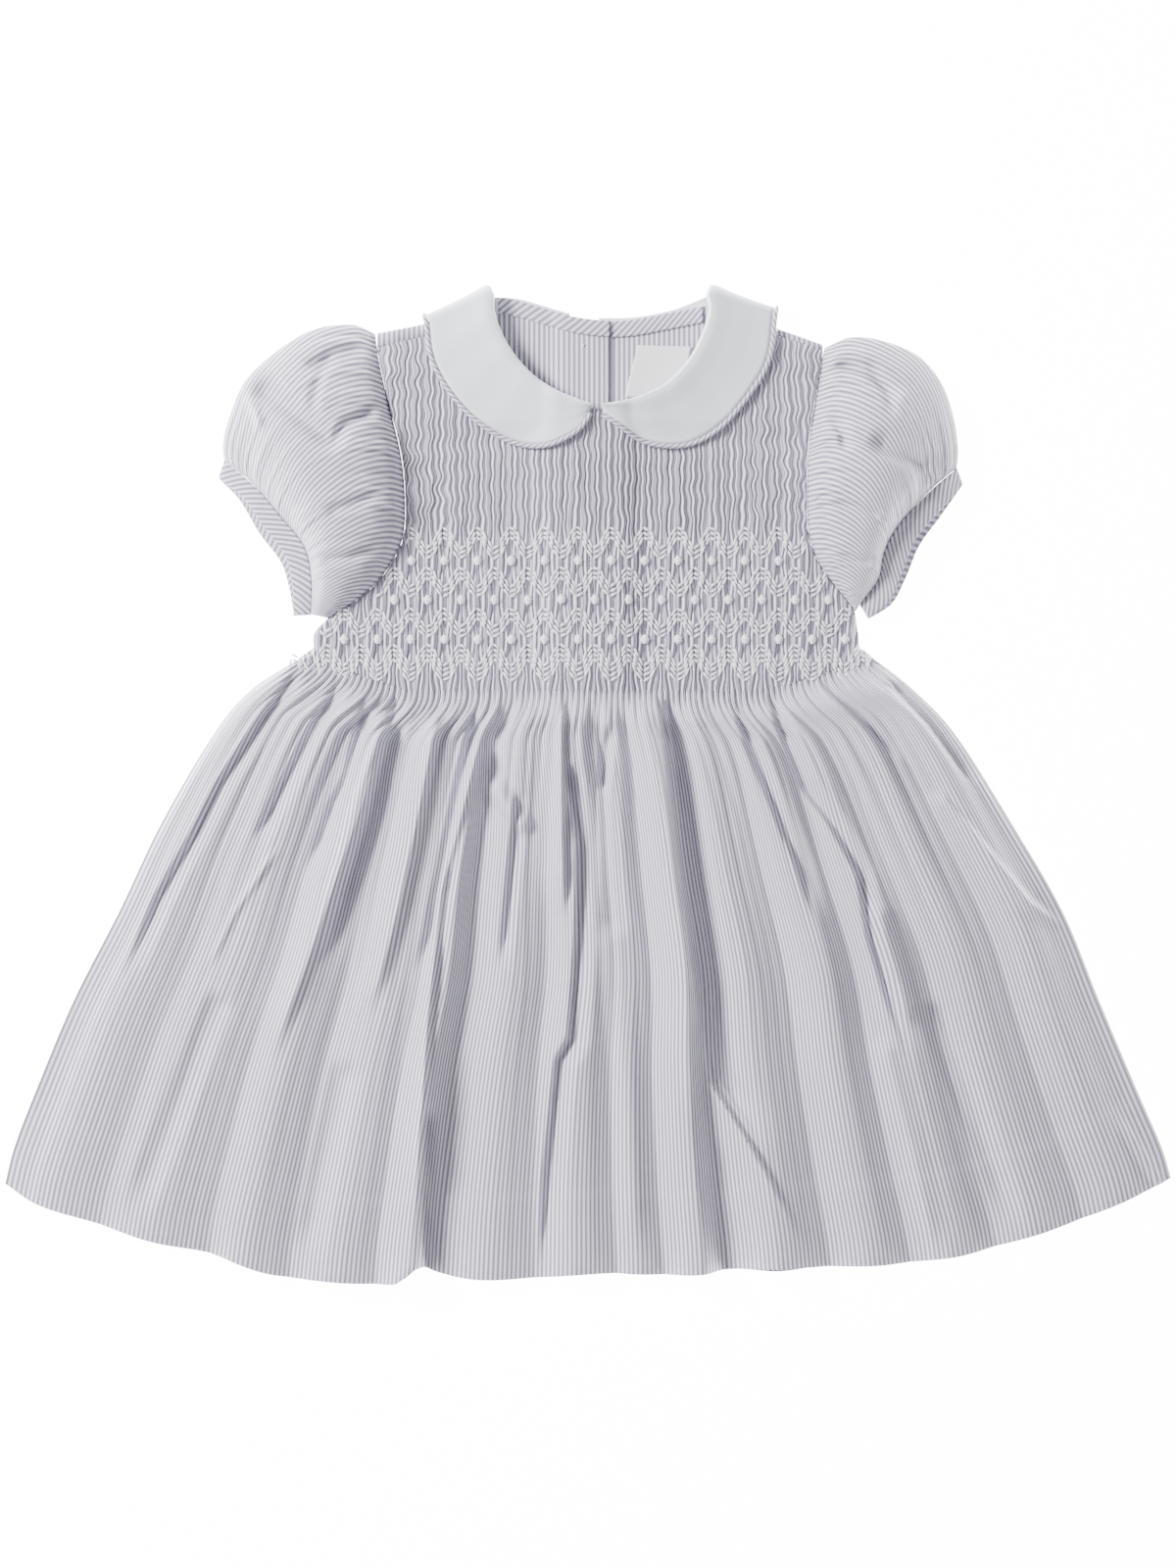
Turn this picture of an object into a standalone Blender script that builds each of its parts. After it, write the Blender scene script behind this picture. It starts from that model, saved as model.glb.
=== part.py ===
"""A baby's smocked dress lying flat on its back, front side up.

The neck points to +Y, the hem to -Y and the front faces +Z. The origin is the middle of the underside.
Every piece of cloth is a closed wall lofted through rows of points, worked out from the garment's sizes.
"""
import math

import bmesh
import bpy
import mathutils

MM = 0.001

# Cloth, in millimetres
WALL = 1.0                # folded and pressed cotton
GAP = 0.3                 # left between pieces at a seam

# Smocking, in millimetres
PLEAT_PITCH = 2.45
PLEAT_RISE = 1.6          # ridge over trough in the pleated bodice
PLEAT_MARGIN = 0.7        # plain cloth beside the first and last pleat
PLEAT_SHIFT_MARGIN = 0.3  # the nearest that a shifted pleat comes to the edge
PINCH = 0.55              # how far stitches draw neighbouring pleats together
REPEAT = 6                # pleats in one wave of the stitching
CRIMP = 0.55              # sideways waver of the pleats above the smocking
CRIMP_AT_CENTRE = 0.4     # share of it that is left away from the armholes
CRIMP_REACH = 20.0        # how far from an armhole that share is reached

# Back opening, in millimetres
BUTTON_RADIUS = 4.6
BUTTON_THICK = 1.2
BUTTON_X = -2.0
BUTTON_SIDES = 14
BUTTON_RIM = 0.3
PLACKET_RISE = 1.5        # the lapped edges lie this high over the buttons
LAP_LEFT = -9.0           # edge of the under half
LAP_RIGHT = 9.5           # edge of the upper half
LAP_STEP = 1.5            # over how much of its width the upper half steps up on the under half
# Where the cloth over the buttons starts to rise, is up, is still up and is down again
UNDER_PLACKET = (-40.0, -30.0, 4.0, 13.0)
UPPER_PLACKET = (-22.0, -10.0, 4.0, 20.0)
FRONT_PLACKET = (-28.0, -12.0, 12.0, 26.0)
FRONT_LAP_RISE = 2.95     # of the front over the lapped halves
FRONT_LAP_END = 20.0      # y where that rise has died out
FRONT_LAP_FADE = 35.0

# Room left under the garment's back for the collar's back halves, in millimetres
COLLAR_ROOM_FROM = 155.0
COLLAR_ROOM_FADE = 10.0
COLLAR_ROOM_CENTRE = 5.0
COLLAR_ROOM_HALF = 94.0
COLLAR_ROOM_SIDE_FADE = 7.0
FRONT_ROOM_RISE = 1.5
FRONT_ROOM_SPREAD = 4.0

# The neck edge rolls up: centre and radius of the neck, and the radii where the roll starts and is full
NECK_CENTRE = (5.0, 212.0)
NECK_RADIUS = 62.0
NECK_ROLL = 2.2
NECK_ROLL_START = 1.30
NECK_ROLL_SPAN = 0.7

BUTTONS = [("button_top", 193.0), ("button_middle", 148.0), ("button_bottom", 103.0)]

# Trimmings, in millimetres
PIPING_RADIUS = 1.0
COLLAR_GAP = 0.6          # over the ridges of the pleats
PIPING_PRESSED = 0.52     # share of its radius where the piping lies under the back
BINDING_WIDTH = 7.0
BINDING_WALL = 0.8
LABEL_WALL = 0.6
LABEL_COLUMNS = 4
HEM_PEEK = 2.2            # how far the back hem shows below the front's
HEM_PEEK_X = 84.0         # where it shows most
HEM_PEEK_REACH = 22.0     # and how far to either side
UNDERARM_TUCK = 3.5       # how far the front's left edge lies inside the back's under the arm
UNDERARM_TUCK_LOW = 50.0
UNDERARM_TUCK_LENGTH = 23.0
ARMHOLE_INSET = 0.7       # of the back's armhole edge
SHOULDER_RADIUS = 0.2     # smallest inner radius of the turn over the shoulder
BAND_GAP = 0.9            # between a sleeve's gathers and its band
BAND_PEEK = 3.5           # how far the back of a sleeve band shows beyond its front

# Sleeves: rows from the armhole to the band, with the crown's height as a share of PUFF
PUFF = 20.0
CROWN_ROUNDNESS = 0.75    # power of the sine across the crown, fuller as it is smaller
CROWN_LEAN = 0.35         # how much lower the crown is at the underarm
SLEEVE_GATHERS = 20
SLEEVE_EDGE = 0.012       # the underside stops this share short of the sleeve's edges
SLEEVE_WALL_EDGE = 0.02   # and so does the inner face
BAND_EDGE_SHARE = 0.014
RING_BREAK = 0.1          # gap in a ring's places between its top and its underside
SLEEVE_ROWS = [
    ("out", "crown", "edge_height", "gather"),
    (0.0, 0.05, 3.6, 0.0), (0.10, 0.48, 4.2, 1.4), (0.24, 0.82, 5.0, 1.2), (0.42, 1.0, 5.2, 0.5),
    (0.62, 0.98, 5.2, 0.5), (0.80, 0.75, 4.8, 1.1), (0.93, 0.42, 4.4, 1.3), (1.0, 0.22, 4.2, 0.0),
]

# How finely the plain surfaces are divided
BODICE_COLUMNS = 22
SKIRT_COLUMNS = 40
BACK_SKIRT_COLUMNS = 18
SHOULDER_COLUMNS = 4
NECK_COLUMNS = 3
SLEEVE_PLAIN = 10
BAND_COLUMNS = 14
COLLAR_COLUMNS = 12
BINDING_COLUMNS = 10

# Outlines as (x, y) in millimetres, from the shoulder down. "left" is the side at -X.
ARMHOLE = {
    "left": [(-93.0, 192.0), (-90.5, 179.5), (-87.5, 166.5), (-84.0, 153.5), (-81.5, 140.5), (-80.5, 127.5),
             (-80.5, 114.5), (-82.0, 106.0), (-86.0, 98.0), (-92.5, 89.0), (-103.0, 80.0), (-114.5, 73.0)],
    "right": [(103.5, 191.0), (102.0, 179.5), (99.5, 166.5), (97.5, 153.5), (96.5, 140.5), (96.3, 127.5),
              (96.5, 114.5), (98.0, 106.0), (102.0, 96.5), (107.5, 88.5), (113.0, 82.0), (117.5, 76.0)],
}
WAIST_Y = 60.0
SIDE = {
    "left": [(-114.5, 73.0), (-120.5, 66.5), (-121.5, 58.0), (-129.9, 53.5), (-149.2, 40.6), (-165.1, 21.3),
             (-187.9, -17.4), (-206.4, -56.1), (-226.2, -94.8), (-242.5, -133.5), (-252.4, -159.3),
             (-256.7, -176.0)],
    "right": [(117.5, 76.0), (119.0, 66.0), (120.5, 58.0), (128.1, 53.5), (144.1, 40.6), (162.1, 21.3),
              (186.6, -17.4), (209.0, -56.1), (224.9, -94.8), (241.2, -133.5), (252.4, -159.3),
              (256.7, -173.5)],
}
HEM = [(-256.7, -176.0), (-243.0, -184.7), (-217.0, -193.0), (-191.5, -201.0), (-165.5, -206.5),
       (-139.5, -215.5), (-114.0, -218.3), (-88.0, -219.4), (-80.5, -216.5), (-74.0, -212.0), (-66.0, -215.0),
       (-50.0, -217.8), (-24.5, -217.2), (2.0, -215.0), (41.0, -215.4), (66.5, -213.3), (92.5, -212.4),
       (118.5, -211.8), (144.0, -210.0), (170.0, -205.7), (196.0, -198.3), (221.5, -189.5), (247.0, -178.5),
       (256.7, -173.5)]
NECKLINE = [(-93.0, 192.0), (-72.5, 196.5), (-44.5, 203.0), (-38.9, 195.8), (-32.6, 186.0), (-24.0, 177.2),
            (-14.7, 171.1), (-5.6, 167.3), (1.6, 164.6), (6.2, 164.6), (14.3, 166.0), (24.8, 169.1),
            (36.1, 175.4), (45.5, 185.5), (51.7, 197.4), (55.5, 205.0), (84.0, 197.0), (103.5, 190.6)]
BACK_NECK = [(-47.5, 209.5), (-40.5, 214.0), (-30.0, 212.3), (-16.0, 208.2), (-5.0, 205.2), (8.0, 203.8),
             (20.0, 204.2), (37.5, 207.5), (52.0, 210.2), (58.0, 208.5)]
SHOULDER_FOLD = {
    "left": [(-93.0, 198.6), (-72.5, 202.5), (-47.5, 209.5)],
    "right": [(103.5, 193.5), (84.0, 200.2), (58.0, 208.5)],
}
SLEEVE_TOP = {
    "left": [(-93.6, 198.0), (-104.0, 202.0), (-121.5, 199.5), (-138.5, 189.0), (-151.5, 176.0),
             (-158.5, 159.0), (-160.5, 149.5), (-160.0, 142.0)],
    "right": [(104.2, 192.0), (116.0, 196.5), (131.0, 194.5), (146.0, 187.5), (156.0, 175.0), (161.0, 160.0),
              (162.8, 147.0), (162.2, 139.0)],
}
BAND_SEAM = {
    "left": [(-160.0, 142.0), (-148.0, 132.5), (-134.5, 117.0), (-124.5, 104.0), (-121.5, 90.0),
             (-121.8, 74.5)],
    "right": [(162.2, 139.0), (150.5, 129.0), (136.5, 114.0), (130.0, 102.0), (127.5, 90.0), (119.5, 79.0)],
}
BAND_EDGE = {
    "left": [(-162.6, 134.5), (-152.0, 126.0), (-142.5, 113.0), (-133.0, 100.0), (-130.0, 88.0),
             (-129.5, 74.0)],
    "right": [(165.0, 131.5), (154.5, 120.0), (144.0, 107.5), (138.0, 93.0), (133.0, 81.0), (123.5, 72.5)],
}

# The collar's neck edge and outer edge run from the centre front, round the side of the neck, to the back
COLLAR_NECK = {
    "left": [(1.6, 166.5), (-5.0, 169.0), (-14.0, 172.8), (-23.0, 178.8), (-31.0, 187.0), (-37.0, 196.5),
             (-40.5, 206.0), (-41.0, 214.5)],
    "right": [(6.2, 166.5), (14.0, 167.8), (24.0, 170.8), (35.0, 176.8), (44.0, 186.5), (50.0, 198.0),
              (52.8, 208.0), (51.8, 214.5)],
}
COLLAR_EDGE = {
    "left": [(0.6, 163.0), (-6.0, 155.3), (-19.0, 149.6), (-34.0, 151.6), (-48.5, 160.6), (-60.0, 173.0),
             (-67.5, 187.0), (-70.0, 203.5)],
    "right": [(6.6, 163.0), (13.0, 159.0), (26.0, 151.0), (43.0, 150.0), (57.5, 157.5), (70.5, 172.5),
              (78.5, 187.0), (81.2, 206.5)],
}
COLLAR_BACK_NECK = {
    "left": [(-41.0, 214.5), (-30.0, 213.6), (-16.0, 209.6), (-8.0, 207.4)],
    "right": [(51.8, 214.5), (37.5, 208.9), (20.0, 205.6), (4.5, 205.4)],
}
COLLAR_BACK_EDGE = {
    "left": [(-70.0, 203.5), (-66.0, 189.0), (-56.0, 177.5), (-40.0, 170.5), (-24.0, 170.0), (-13.0, 177.0),
             (-8.5, 190.0)],
    "right": [(81.2, 206.5), (77.0, 189.5), (65.0, 177.5), (48.0, 170.5), (28.0, 170.0), (12.0, 177.5),
              (5.0, 190.0)],
}
LABEL = [(21.9, 193.1), (45.4, 192.4), (42.0, 169.0), (16.1, 170.1)]

# Skirt folds: where each runs across the skirt (0 at the left side, 1 at the right), its height in
# millimetres under the waist, half way down and at the hem, and how far each flank reaches, as a share.
FOLDS = [
    ("at", "waist_rise", "middle_rise", "hem_rise", "left_flank", "right_flank"),
    (0.045, 3.0, 5.0, 4.0, 0.040, 0.050),
    (0.130, 4.0, 6.0, 6.5, 0.055, 0.055),
    (0.205, 4.5, 7.5, 7.0, 0.035, 0.045),
    (0.290, 5.0, 8.5, 9.0, 0.050, 0.050),
    (0.350, 5.0, 9.0, 13.0, 0.045, 0.018),
    (0.418, 5.0, 7.0, 6.0, 0.040, 0.040),
    (0.492, 5.5, 10.0, 8.0, 0.040, 0.042),
    (0.545, 4.5, 6.0, 6.5, 0.030, 0.030),
    (0.598, 5.0, 11.0, 11.0, 0.040, 0.016),
    (0.665, 4.5, 7.5, 10.0, 0.040, 0.045),
    (0.745, 5.0, 9.0, 7.0, 0.042, 0.032),
    (0.815, 4.5, 8.0, 7.5, 0.040, 0.035),
    (0.885, 4.0, 6.0, 6.0, 0.040, 0.040),
    (0.955, 3.5, 6.0, 4.5, 0.035, 0.030),
]

# Rows of the front: y, the pleats' rise as a share of PLEAT_RISE, and the pinch: +1 or -1 for the phase of
# the wave, 0 for none
BODICE_ROWS = [
    ("y", "rise", "pinch"),
    (192.0, 0.56, 0), (181.0, 1.0, 0), (170.0, 1.0, 0), (159.0, 1.0, 0), (148.0, 1.0, 0), (137.0, 1.0, 0),
    (126.0, 1.0, 0), (115.5, 1.0, 0), (106.5, 0.69, 1), (97.5, 0.94, 0), (88.5, 0.69, -1), (79.5, 0.94, 0),
    (70.5, 0.69, 1), (61.5, 0.94, 0), (52.5, 0.69, -1), (44.0, 1.06, 0),
]
NECK_ROWS_END = 137.0     # from here down the rows are straight
CRIMP_END = 110.0         # from here down the pleats don't waver

# Rows of the released skirt: how far down, the gathers across and their rise, and the columns
SKIRT_ROWS = [
    ("down", "gathers", "rise", "columns"),
    (0.05, 96, 1.6, 192), (0.12, 48, 1.6, 96), (0.20, 48, 1.3, 96), (0.29, 24, 1.2, 72), (0.40, 24, 0.8, 72),
    (0.52, 24, 0.4, 72), (0.64, 24, 0.2, 72), (0.76, 24, 0.0, 72), (0.88, 24, 0.0, 72), (1.0, 24, 0.0, 72),
]

# Rows of the back: y in millimetres, then shares of the way up to the neck and shoulder, then the turn
BACK_BODICE_ROWS = [60.3, 66.5, 73.0, 80.0, 89.0, 98.0, 106.0]
UPPER_BACK_ROWS = [0.22, 0.42, 0.56, 0.70, 0.85, 1.0]
TURN_ANGLES = [-45.0, 0.0, 45.0, 90.0]
LAP_COLUMNS = {
    "left": [-22.0, -19.0, -16.0, -13.0, -10.0, -3.0, 4.0, 6.75, LAP_RIGHT],
    "right": [20.0, 13.0, 10.75, 8.5, 6.25, 4.0, LAP_LEFT],
}
BACK_SKIRT_ROWS = [0.0, 0.08, 0.2, 0.4, 0.6, 0.8, 1.0]
BINDING_ENDS = {"left": (-39.5, 9.5), "right": (50.5, 10.2)}

# Rows of the collar from the neck to the outer edge: how far across on the front, how high over the
# cloth it lies on, and how far across on the back
COLLAR_ROWS = [
    ("name", "reach", "rise", "back_reach"),
    ("seam", 0.0, -1.6, 0.0), ("stand", 0.004, 1.2, 0.04), ("roll", 0.04, 2.6, 0.08), ("crest", 0.12, 2.8, 0.15),
    ("fall", 0.35, 1.4, 0.36), ("lie", 0.68, 0.4, 0.68), ("edge", 1.0, 0.0, 1.0),
]
COLLAR_WALL_SHARE = [0.030, 0.030, 0.022, 0.008, 0.0, 0.0, 0.0]
COLLAR_TURN = 0.12        # share of the back half that turns over the shoulder
COLLAR_TURN_STEPS = 6

# Skirt folds: the flanks' spread, and the shares of side and length over which the folds fade
FLANK_SPREAD = 1.25
FOLD_SIDE_FADE = 0.03
FOLD_WAIST_FADE = 0.10

ROUGHNESS = 0.85
SHARP_DEGREES = 50.0

COLOURS = {
    "stripe": (0.69, 0.67, 0.73),
    "collar": (0.90, 0.91, 0.95),
    "label": (0.88, 0.88, 0.90),
    "button": (0.90, 0.90, 0.88),
}


def clear_scene():
    for old in list(bpy.data.objects):
        bpy.data.objects.remove(old, do_unlink=True)


def material(name, colour):
    made = bpy.data.materials.new(name)
    made.use_nodes = True
    shader = made.node_tree.nodes["Principled BSDF"]
    shader.inputs["Base Color"].default_value = (*colour, 1.0)
    shader.inputs["Roughness"].default_value = ROUGHNESS
    shader.inputs["Metallic"].default_value = 0.0
    return made


def between(a, b, t):
    return a + (b - a) * t


def smooth(t):
    t = min(max(t, 0.0), 1.0)
    return t * t * (3.0 - 2.0 * t)


def lookup(table, key, value, at):
    """Reads column `value` of a table where column `key` is `at`, with straight lines between rows."""
    rows = sorted(table, key=lambda row: row[key])
    if at <= rows[0][key]:
        return rows[0][value]
    for low, high in zip(rows, rows[1:]):
        if at <= high[key]:
            span = high[key] - low[key]
            return between(low[value], high[value], (at - low[key]) / span if span else 0.0)
    return rows[-1][value]


def along(points, t):
    """The point a share t of the way along an open line of points."""
    lengths = [math.dist(a, b) for a, b in zip(points, points[1:])]
    left = t * sum(lengths)
    for (a, b), length in zip(zip(points, points[1:]), lengths):
        if left <= length:
            share = left / length
            return tuple(between(p, q, share) for p, q in zip(a, b))
        left -= length
    return tuple(points[-1])


class Wall:
    """A closed wall, made of rows of points joined by strips of triangles."""

    def __init__(self, name, slot, shaded_smooth=True):
        self.name = name
        self.slot = slot
        self.shaded_smooth = shaded_smooth
        self.points = []
        self.faces = []

    def row(self, points, places=None):
        """Adds points, each with its place along the row, from 0 to 1 unless given."""
        last = max(len(points) - 1, 1)
        places = places or [i / last for i in range(len(points))]
        first = len(self.points)
        self.points.extend(points)
        return [(place, first + i) for i, place in enumerate(places)]

    def strip(self, upper, lower):
        """Joins two rows, which may have different counts, by triangles taken in order of place."""
        i = j = 0
        while i < len(upper) - 1 or j < len(lower) - 1:
            upper_next = upper[i + 1][0] if i < len(upper) - 1 else math.inf
            lower_next = lower[j + 1][0] if j < len(lower) - 1 else math.inf
            if upper_next <= lower_next:
                self.face(upper[i][1], lower[j][1], upper[i + 1][1])
                i += 1
            else:
                self.face(upper[i][1], lower[j][1], lower[j + 1][1])
                j += 1

    def face(self, *corners):
        if len(set(corners)) == 3:
            self.faces.append(corners)

    def stack(self, rows):
        for upper, lower in zip(rows, rows[1:]):
            self.strip(upper, lower)

    def side(self, outer, inner, end):
        """The edge wall down one side of two stacks: end is 0 for the rows' starts, -1 for their ends."""
        self.strip(*[[(n, row[end][1]) for n, row in enumerate(rows)] for rows in (outer, inner)])

    def sheet(self, outer, inner):
        """Two stacks of rows, top to bottom, and the four edges between them."""
        self.stack(outer)
        self.stack(inner)
        self.strip(outer[0], inner[0])
        self.strip(outer[-1], inner[-1])
        self.side(outer, inner, 0)
        self.side(outer, inner, -1)

    def tube(self, outer, inner):
        """Two stacks of rings, one round the other, and the ring walls at both ends."""
        closed = [[self.closed(ring) for ring in stack] for stack in (outer, inner)]
        self.stack(closed[0])
        self.stack(closed[1])
        self.strip(closed[0][0], closed[1][0])
        self.strip(closed[0][-1], closed[1][-1])

    @staticmethod
    def closed(ring):
        return ring + [(1.0 + ring[0][0], ring[0][1])]

    def build(self, materials, collection):
        mesh = bpy.data.meshes.new(self.name)
        mesh.from_pydata([(x * MM, y * MM, z * MM) for x, y, z in self.points], [], self.faces)
        work = bmesh.new()
        work.from_mesh(mesh)
        bmesh.ops.recalc_face_normals(work, faces=work.faces[:])
        work.to_mesh(mesh)
        work.free()
        mesh.materials.append(materials[self.slot])
        made = bpy.data.objects.new(self.name, mesh)
        collection.objects.link(made)
        if self.shaded_smooth:
            mesh.shade_smooth()
            mesh.set_sharp_from_angle(angle=math.radians(SHARP_DEGREES))
        return made


def placket(x, ends):
    """Rise over the buttons: `ends` are the four x where it starts, is full, is still full and is over."""
    start, full, still, over = ends
    if x <= full:
        return smooth((x - start) / (full - start)) if x > start else 0.0
    return 1.0 - smooth((x - still) / (over - still)) if x > still else 1.0


def under_half(x):
    """Lower face of the back bodice's right half."""
    return PLACKET_RISE * placket(x, UNDER_PLACKET)


def upper_half(x):
    """Lower face of the left half, which lies on the right one past LAP_LEFT."""
    return (PLACKET_RISE + WALL + GAP) * placket(x, UPPER_PLACKET)


def collar_room(x, y, spread=0.0):
    """How far the back lies over the collar's back halves, from 0 to 1."""
    across = COLLAR_ROOM_HALF + spread - abs(x - COLLAR_ROOM_CENTRE)
    up = y - COLLAR_ROOM_FROM + spread
    return smooth(up / COLLAR_ROOM_FADE) * smooth(across / COLLAR_ROOM_SIDE_FADE)


def back_floor(x, y, side):
    """Lower face of a back bodice half."""
    rise = upper_half(x) if side == "left" else under_half(x)
    floor = max(rise, (WALL + GAP) * collar_room(x, y))
    if side == "left" and x > LAP_LEFT - LAP_STEP:
        floor = max(floor, back_floor(x, y, "right") + WALL + GAP)
    return floor


def front_floor(x, y):
    """Inner face of the front, clear of the back and rising to the rolled neck."""
    lap = FRONT_LAP_RISE * placket(x, FRONT_PLACKET) * smooth((y - FRONT_LAP_END) / FRONT_LAP_FADE)
    room = FRONT_ROOM_RISE * collar_room(x, y, FRONT_ROOM_SPREAD)
    neck = math.dist((x, y), NECK_CENTRE) / NECK_RADIUS
    roll = NECK_ROLL * smooth((NECK_ROLL_START - neck) / NECK_ROLL_SPAN)
    return WALL + GAP + max(lap, room) + roll


def fold_rise(share, down):
    """Height of the skirt's folds: share across, and 0 at the waist to 1 at the hem."""
    total = 0.0
    for at, waist_rise, middle_rise, hem_rise, left_flank, right_flank in FOLDS[1:]:
        if down < 0.5:
            rise = between(waist_rise, middle_rise, down * 2.0)
        else:
            rise = between(middle_rise, hem_rise, down * 2.0 - 1.0)
        flank = left_flank if share < at else right_flank
        total = max(total, rise * smooth(1.0 - abs(share - at) / (flank * FLANK_SPREAD)))
    edge = smooth(min(share, 1.0 - share) / FOLD_SIDE_FADE)
    return total * edge * smooth(down / FOLD_WAIST_FADE)


def front_edge(side, y):
    """The front's edge: at the armhole, then down the side seam, a little inside the back at the left."""
    inward = 1.0 if side == "left" else -1.0
    if y > ARMHOLE[side][-1][1]:
        return lookup(ARMHOLE[side], 1, 0, y) + inward * GAP / 2.0
    up = min(max((y - UNDERARM_TUCK_LOW) / UNDERARM_TUCK_LENGTH, 0.0), 1.0)
    tuck = UNDERARM_TUCK * math.sin(math.pi * up) if side == "left" else 0.0
    return lookup(SIDE[side], 1, 0, y) + inward * tuck


def bodice_row(level):
    """One row across the pleated bodice: the outer points and the plain inner ones."""
    y, rise, phase = BODICE_ROWS[level + 1]
    top_y = BODICE_ROWS[1][0]
    left = front_edge("left", y)
    right = front_edge("right", y)
    follow = max((y - NECK_ROWS_END) / (top_y - NECK_ROWS_END), 0.0)

    def point(x, height):
        row_y = y + follow * (lookup(NECKLINE, 0, 1, x) - top_y)
        return (x, row_y, front_floor(x, row_y) + height)

    half_pitch = PLEAT_PITCH / 2.0
    crimp = CRIMP * (-1) ** level if y > CRIMP_END else 0.0
    outer = [point(left, WALL)]
    first = math.ceil((left + PLEAT_MARGIN) / half_pitch)
    last = math.floor((right - PLEAT_MARGIN) / half_pitch)
    for n in range(first, last + 1):
        x = n * half_pitch
        wave = math.sin(2.0 * math.pi * x / (REPEAT * PLEAT_PITCH)) * phase
        waver = between(1.0, CRIMP_AT_CENTRE, smooth(min(x - left, right - x) / CRIMP_REACH))
        x = x + crimp * waver + PINCH * wave
        x = min(max(x, left + PLEAT_SHIFT_MARGIN), right - PLEAT_SHIFT_MARGIN)
        outer.append(point(x, WALL + (rise * PLEAT_RISE if n % 2 == 0 else 0.0)))
    outer.append(point(right, WALL))
    inner = [point(between(left, right, n / BODICE_COLUMNS), 0.0) for n in range(BODICE_COLUMNS + 1)]
    return outer, inner


def skirt_point(share, down, height):
    """A point of the front skirt: share across it, and down it from 0 to 1."""
    start_y = BODICE_ROWS[-1][0]
    ends = [lookup(SIDE[side], 1, 0, between(start_y, SIDE[side][-1][1], down)) for side in SIDE]
    hem_y = lookup(HEM, 0, 1, between(HEM[0][0], HEM[-1][0], share))
    x = between(*ends, share)
    y = between(start_y, hem_y, down)
    return (x, y, front_floor(x, y) + fold_rise(share, down) + height)


def front_panel():
    wall = Wall("front_panel", "stripe")
    stacks = [[], []]
    for level in range(len(BODICE_ROWS) - 1):
        for stack, points in zip(stacks, bodice_row(level)):
            stack.append(wall.row(points, [point[0] for point in points]))
    # The lowest smocked row is placed a second time by its share across, as the skirt's rows are
    seams = []
    for stack in stacks:
        low = stack[-1][0][0]
        high = stack[-1][-1][0]
        seams.append([((place - low) / (high - low), n) for place, n in stack[-1]])
    skirt = [[seams[0]], [seams[1]]]
    for down, gathers, rise, columns in SKIRT_ROWS[1:]:
        shares = [n / columns for n in range(columns + 1)]
        swell = [rise * (0.5 - 0.5 * math.cos(2.0 * math.pi * share * gathers)) for share in shares]
        outer = [skirt_point(share, down, WALL + extra) for share, extra in zip(shares, swell)]
        plain = [n / SKIRT_COLUMNS for n in range(SKIRT_COLUMNS + 1)]
        skirt[0].append(wall.row(outer, shares))
        skirt[1].append(wall.row([skirt_point(share, down, 0.0) for share in plain], plain))
    wall.stack(stacks[0])
    wall.stack(stacks[1])
    wall.stack(skirt[0])
    wall.stack(skirt[1])
    wall.strip(stacks[0][0], stacks[1][0])
    wall.strip(skirt[0][-1], skirt[1][-1])
    for end in (0, -1):
        wall.side(stacks[0] + skirt[0][1:], stacks[1] + skirt[1][1:], end)
    return wall


def back_skirt():
    wall = Wall("back_skirt", "stripe")
    stacks = [[], []]
    start_y = WAIST_Y - GAP
    for down in BACK_SKIRT_ROWS:
        for stack, z in zip(stacks, (0.0, WALL)):
            ends = [lookup(SIDE[side], 1, 0, between(start_y, SIDE[side][-1][1], down)) for side in SIDE]
            points = []
            for n in range(BACK_SKIRT_COLUMNS + 1):
                share = n / BACK_SKIRT_COLUMNS
                hem_x = between(HEM[0][0], HEM[-1][0], share)
                peek = HEM_PEEK * smooth(1.0 - abs(hem_x - HEM_PEEK_X) / HEM_PEEK_REACH)
                hem_y = lookup(HEM, 0, 1, hem_x) - peek
                points.append((between(*ends, share), between(start_y, hem_y, down), z))
            stack.append(wall.row(points))
    wall.sheet(*stacks)
    return wall


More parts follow.
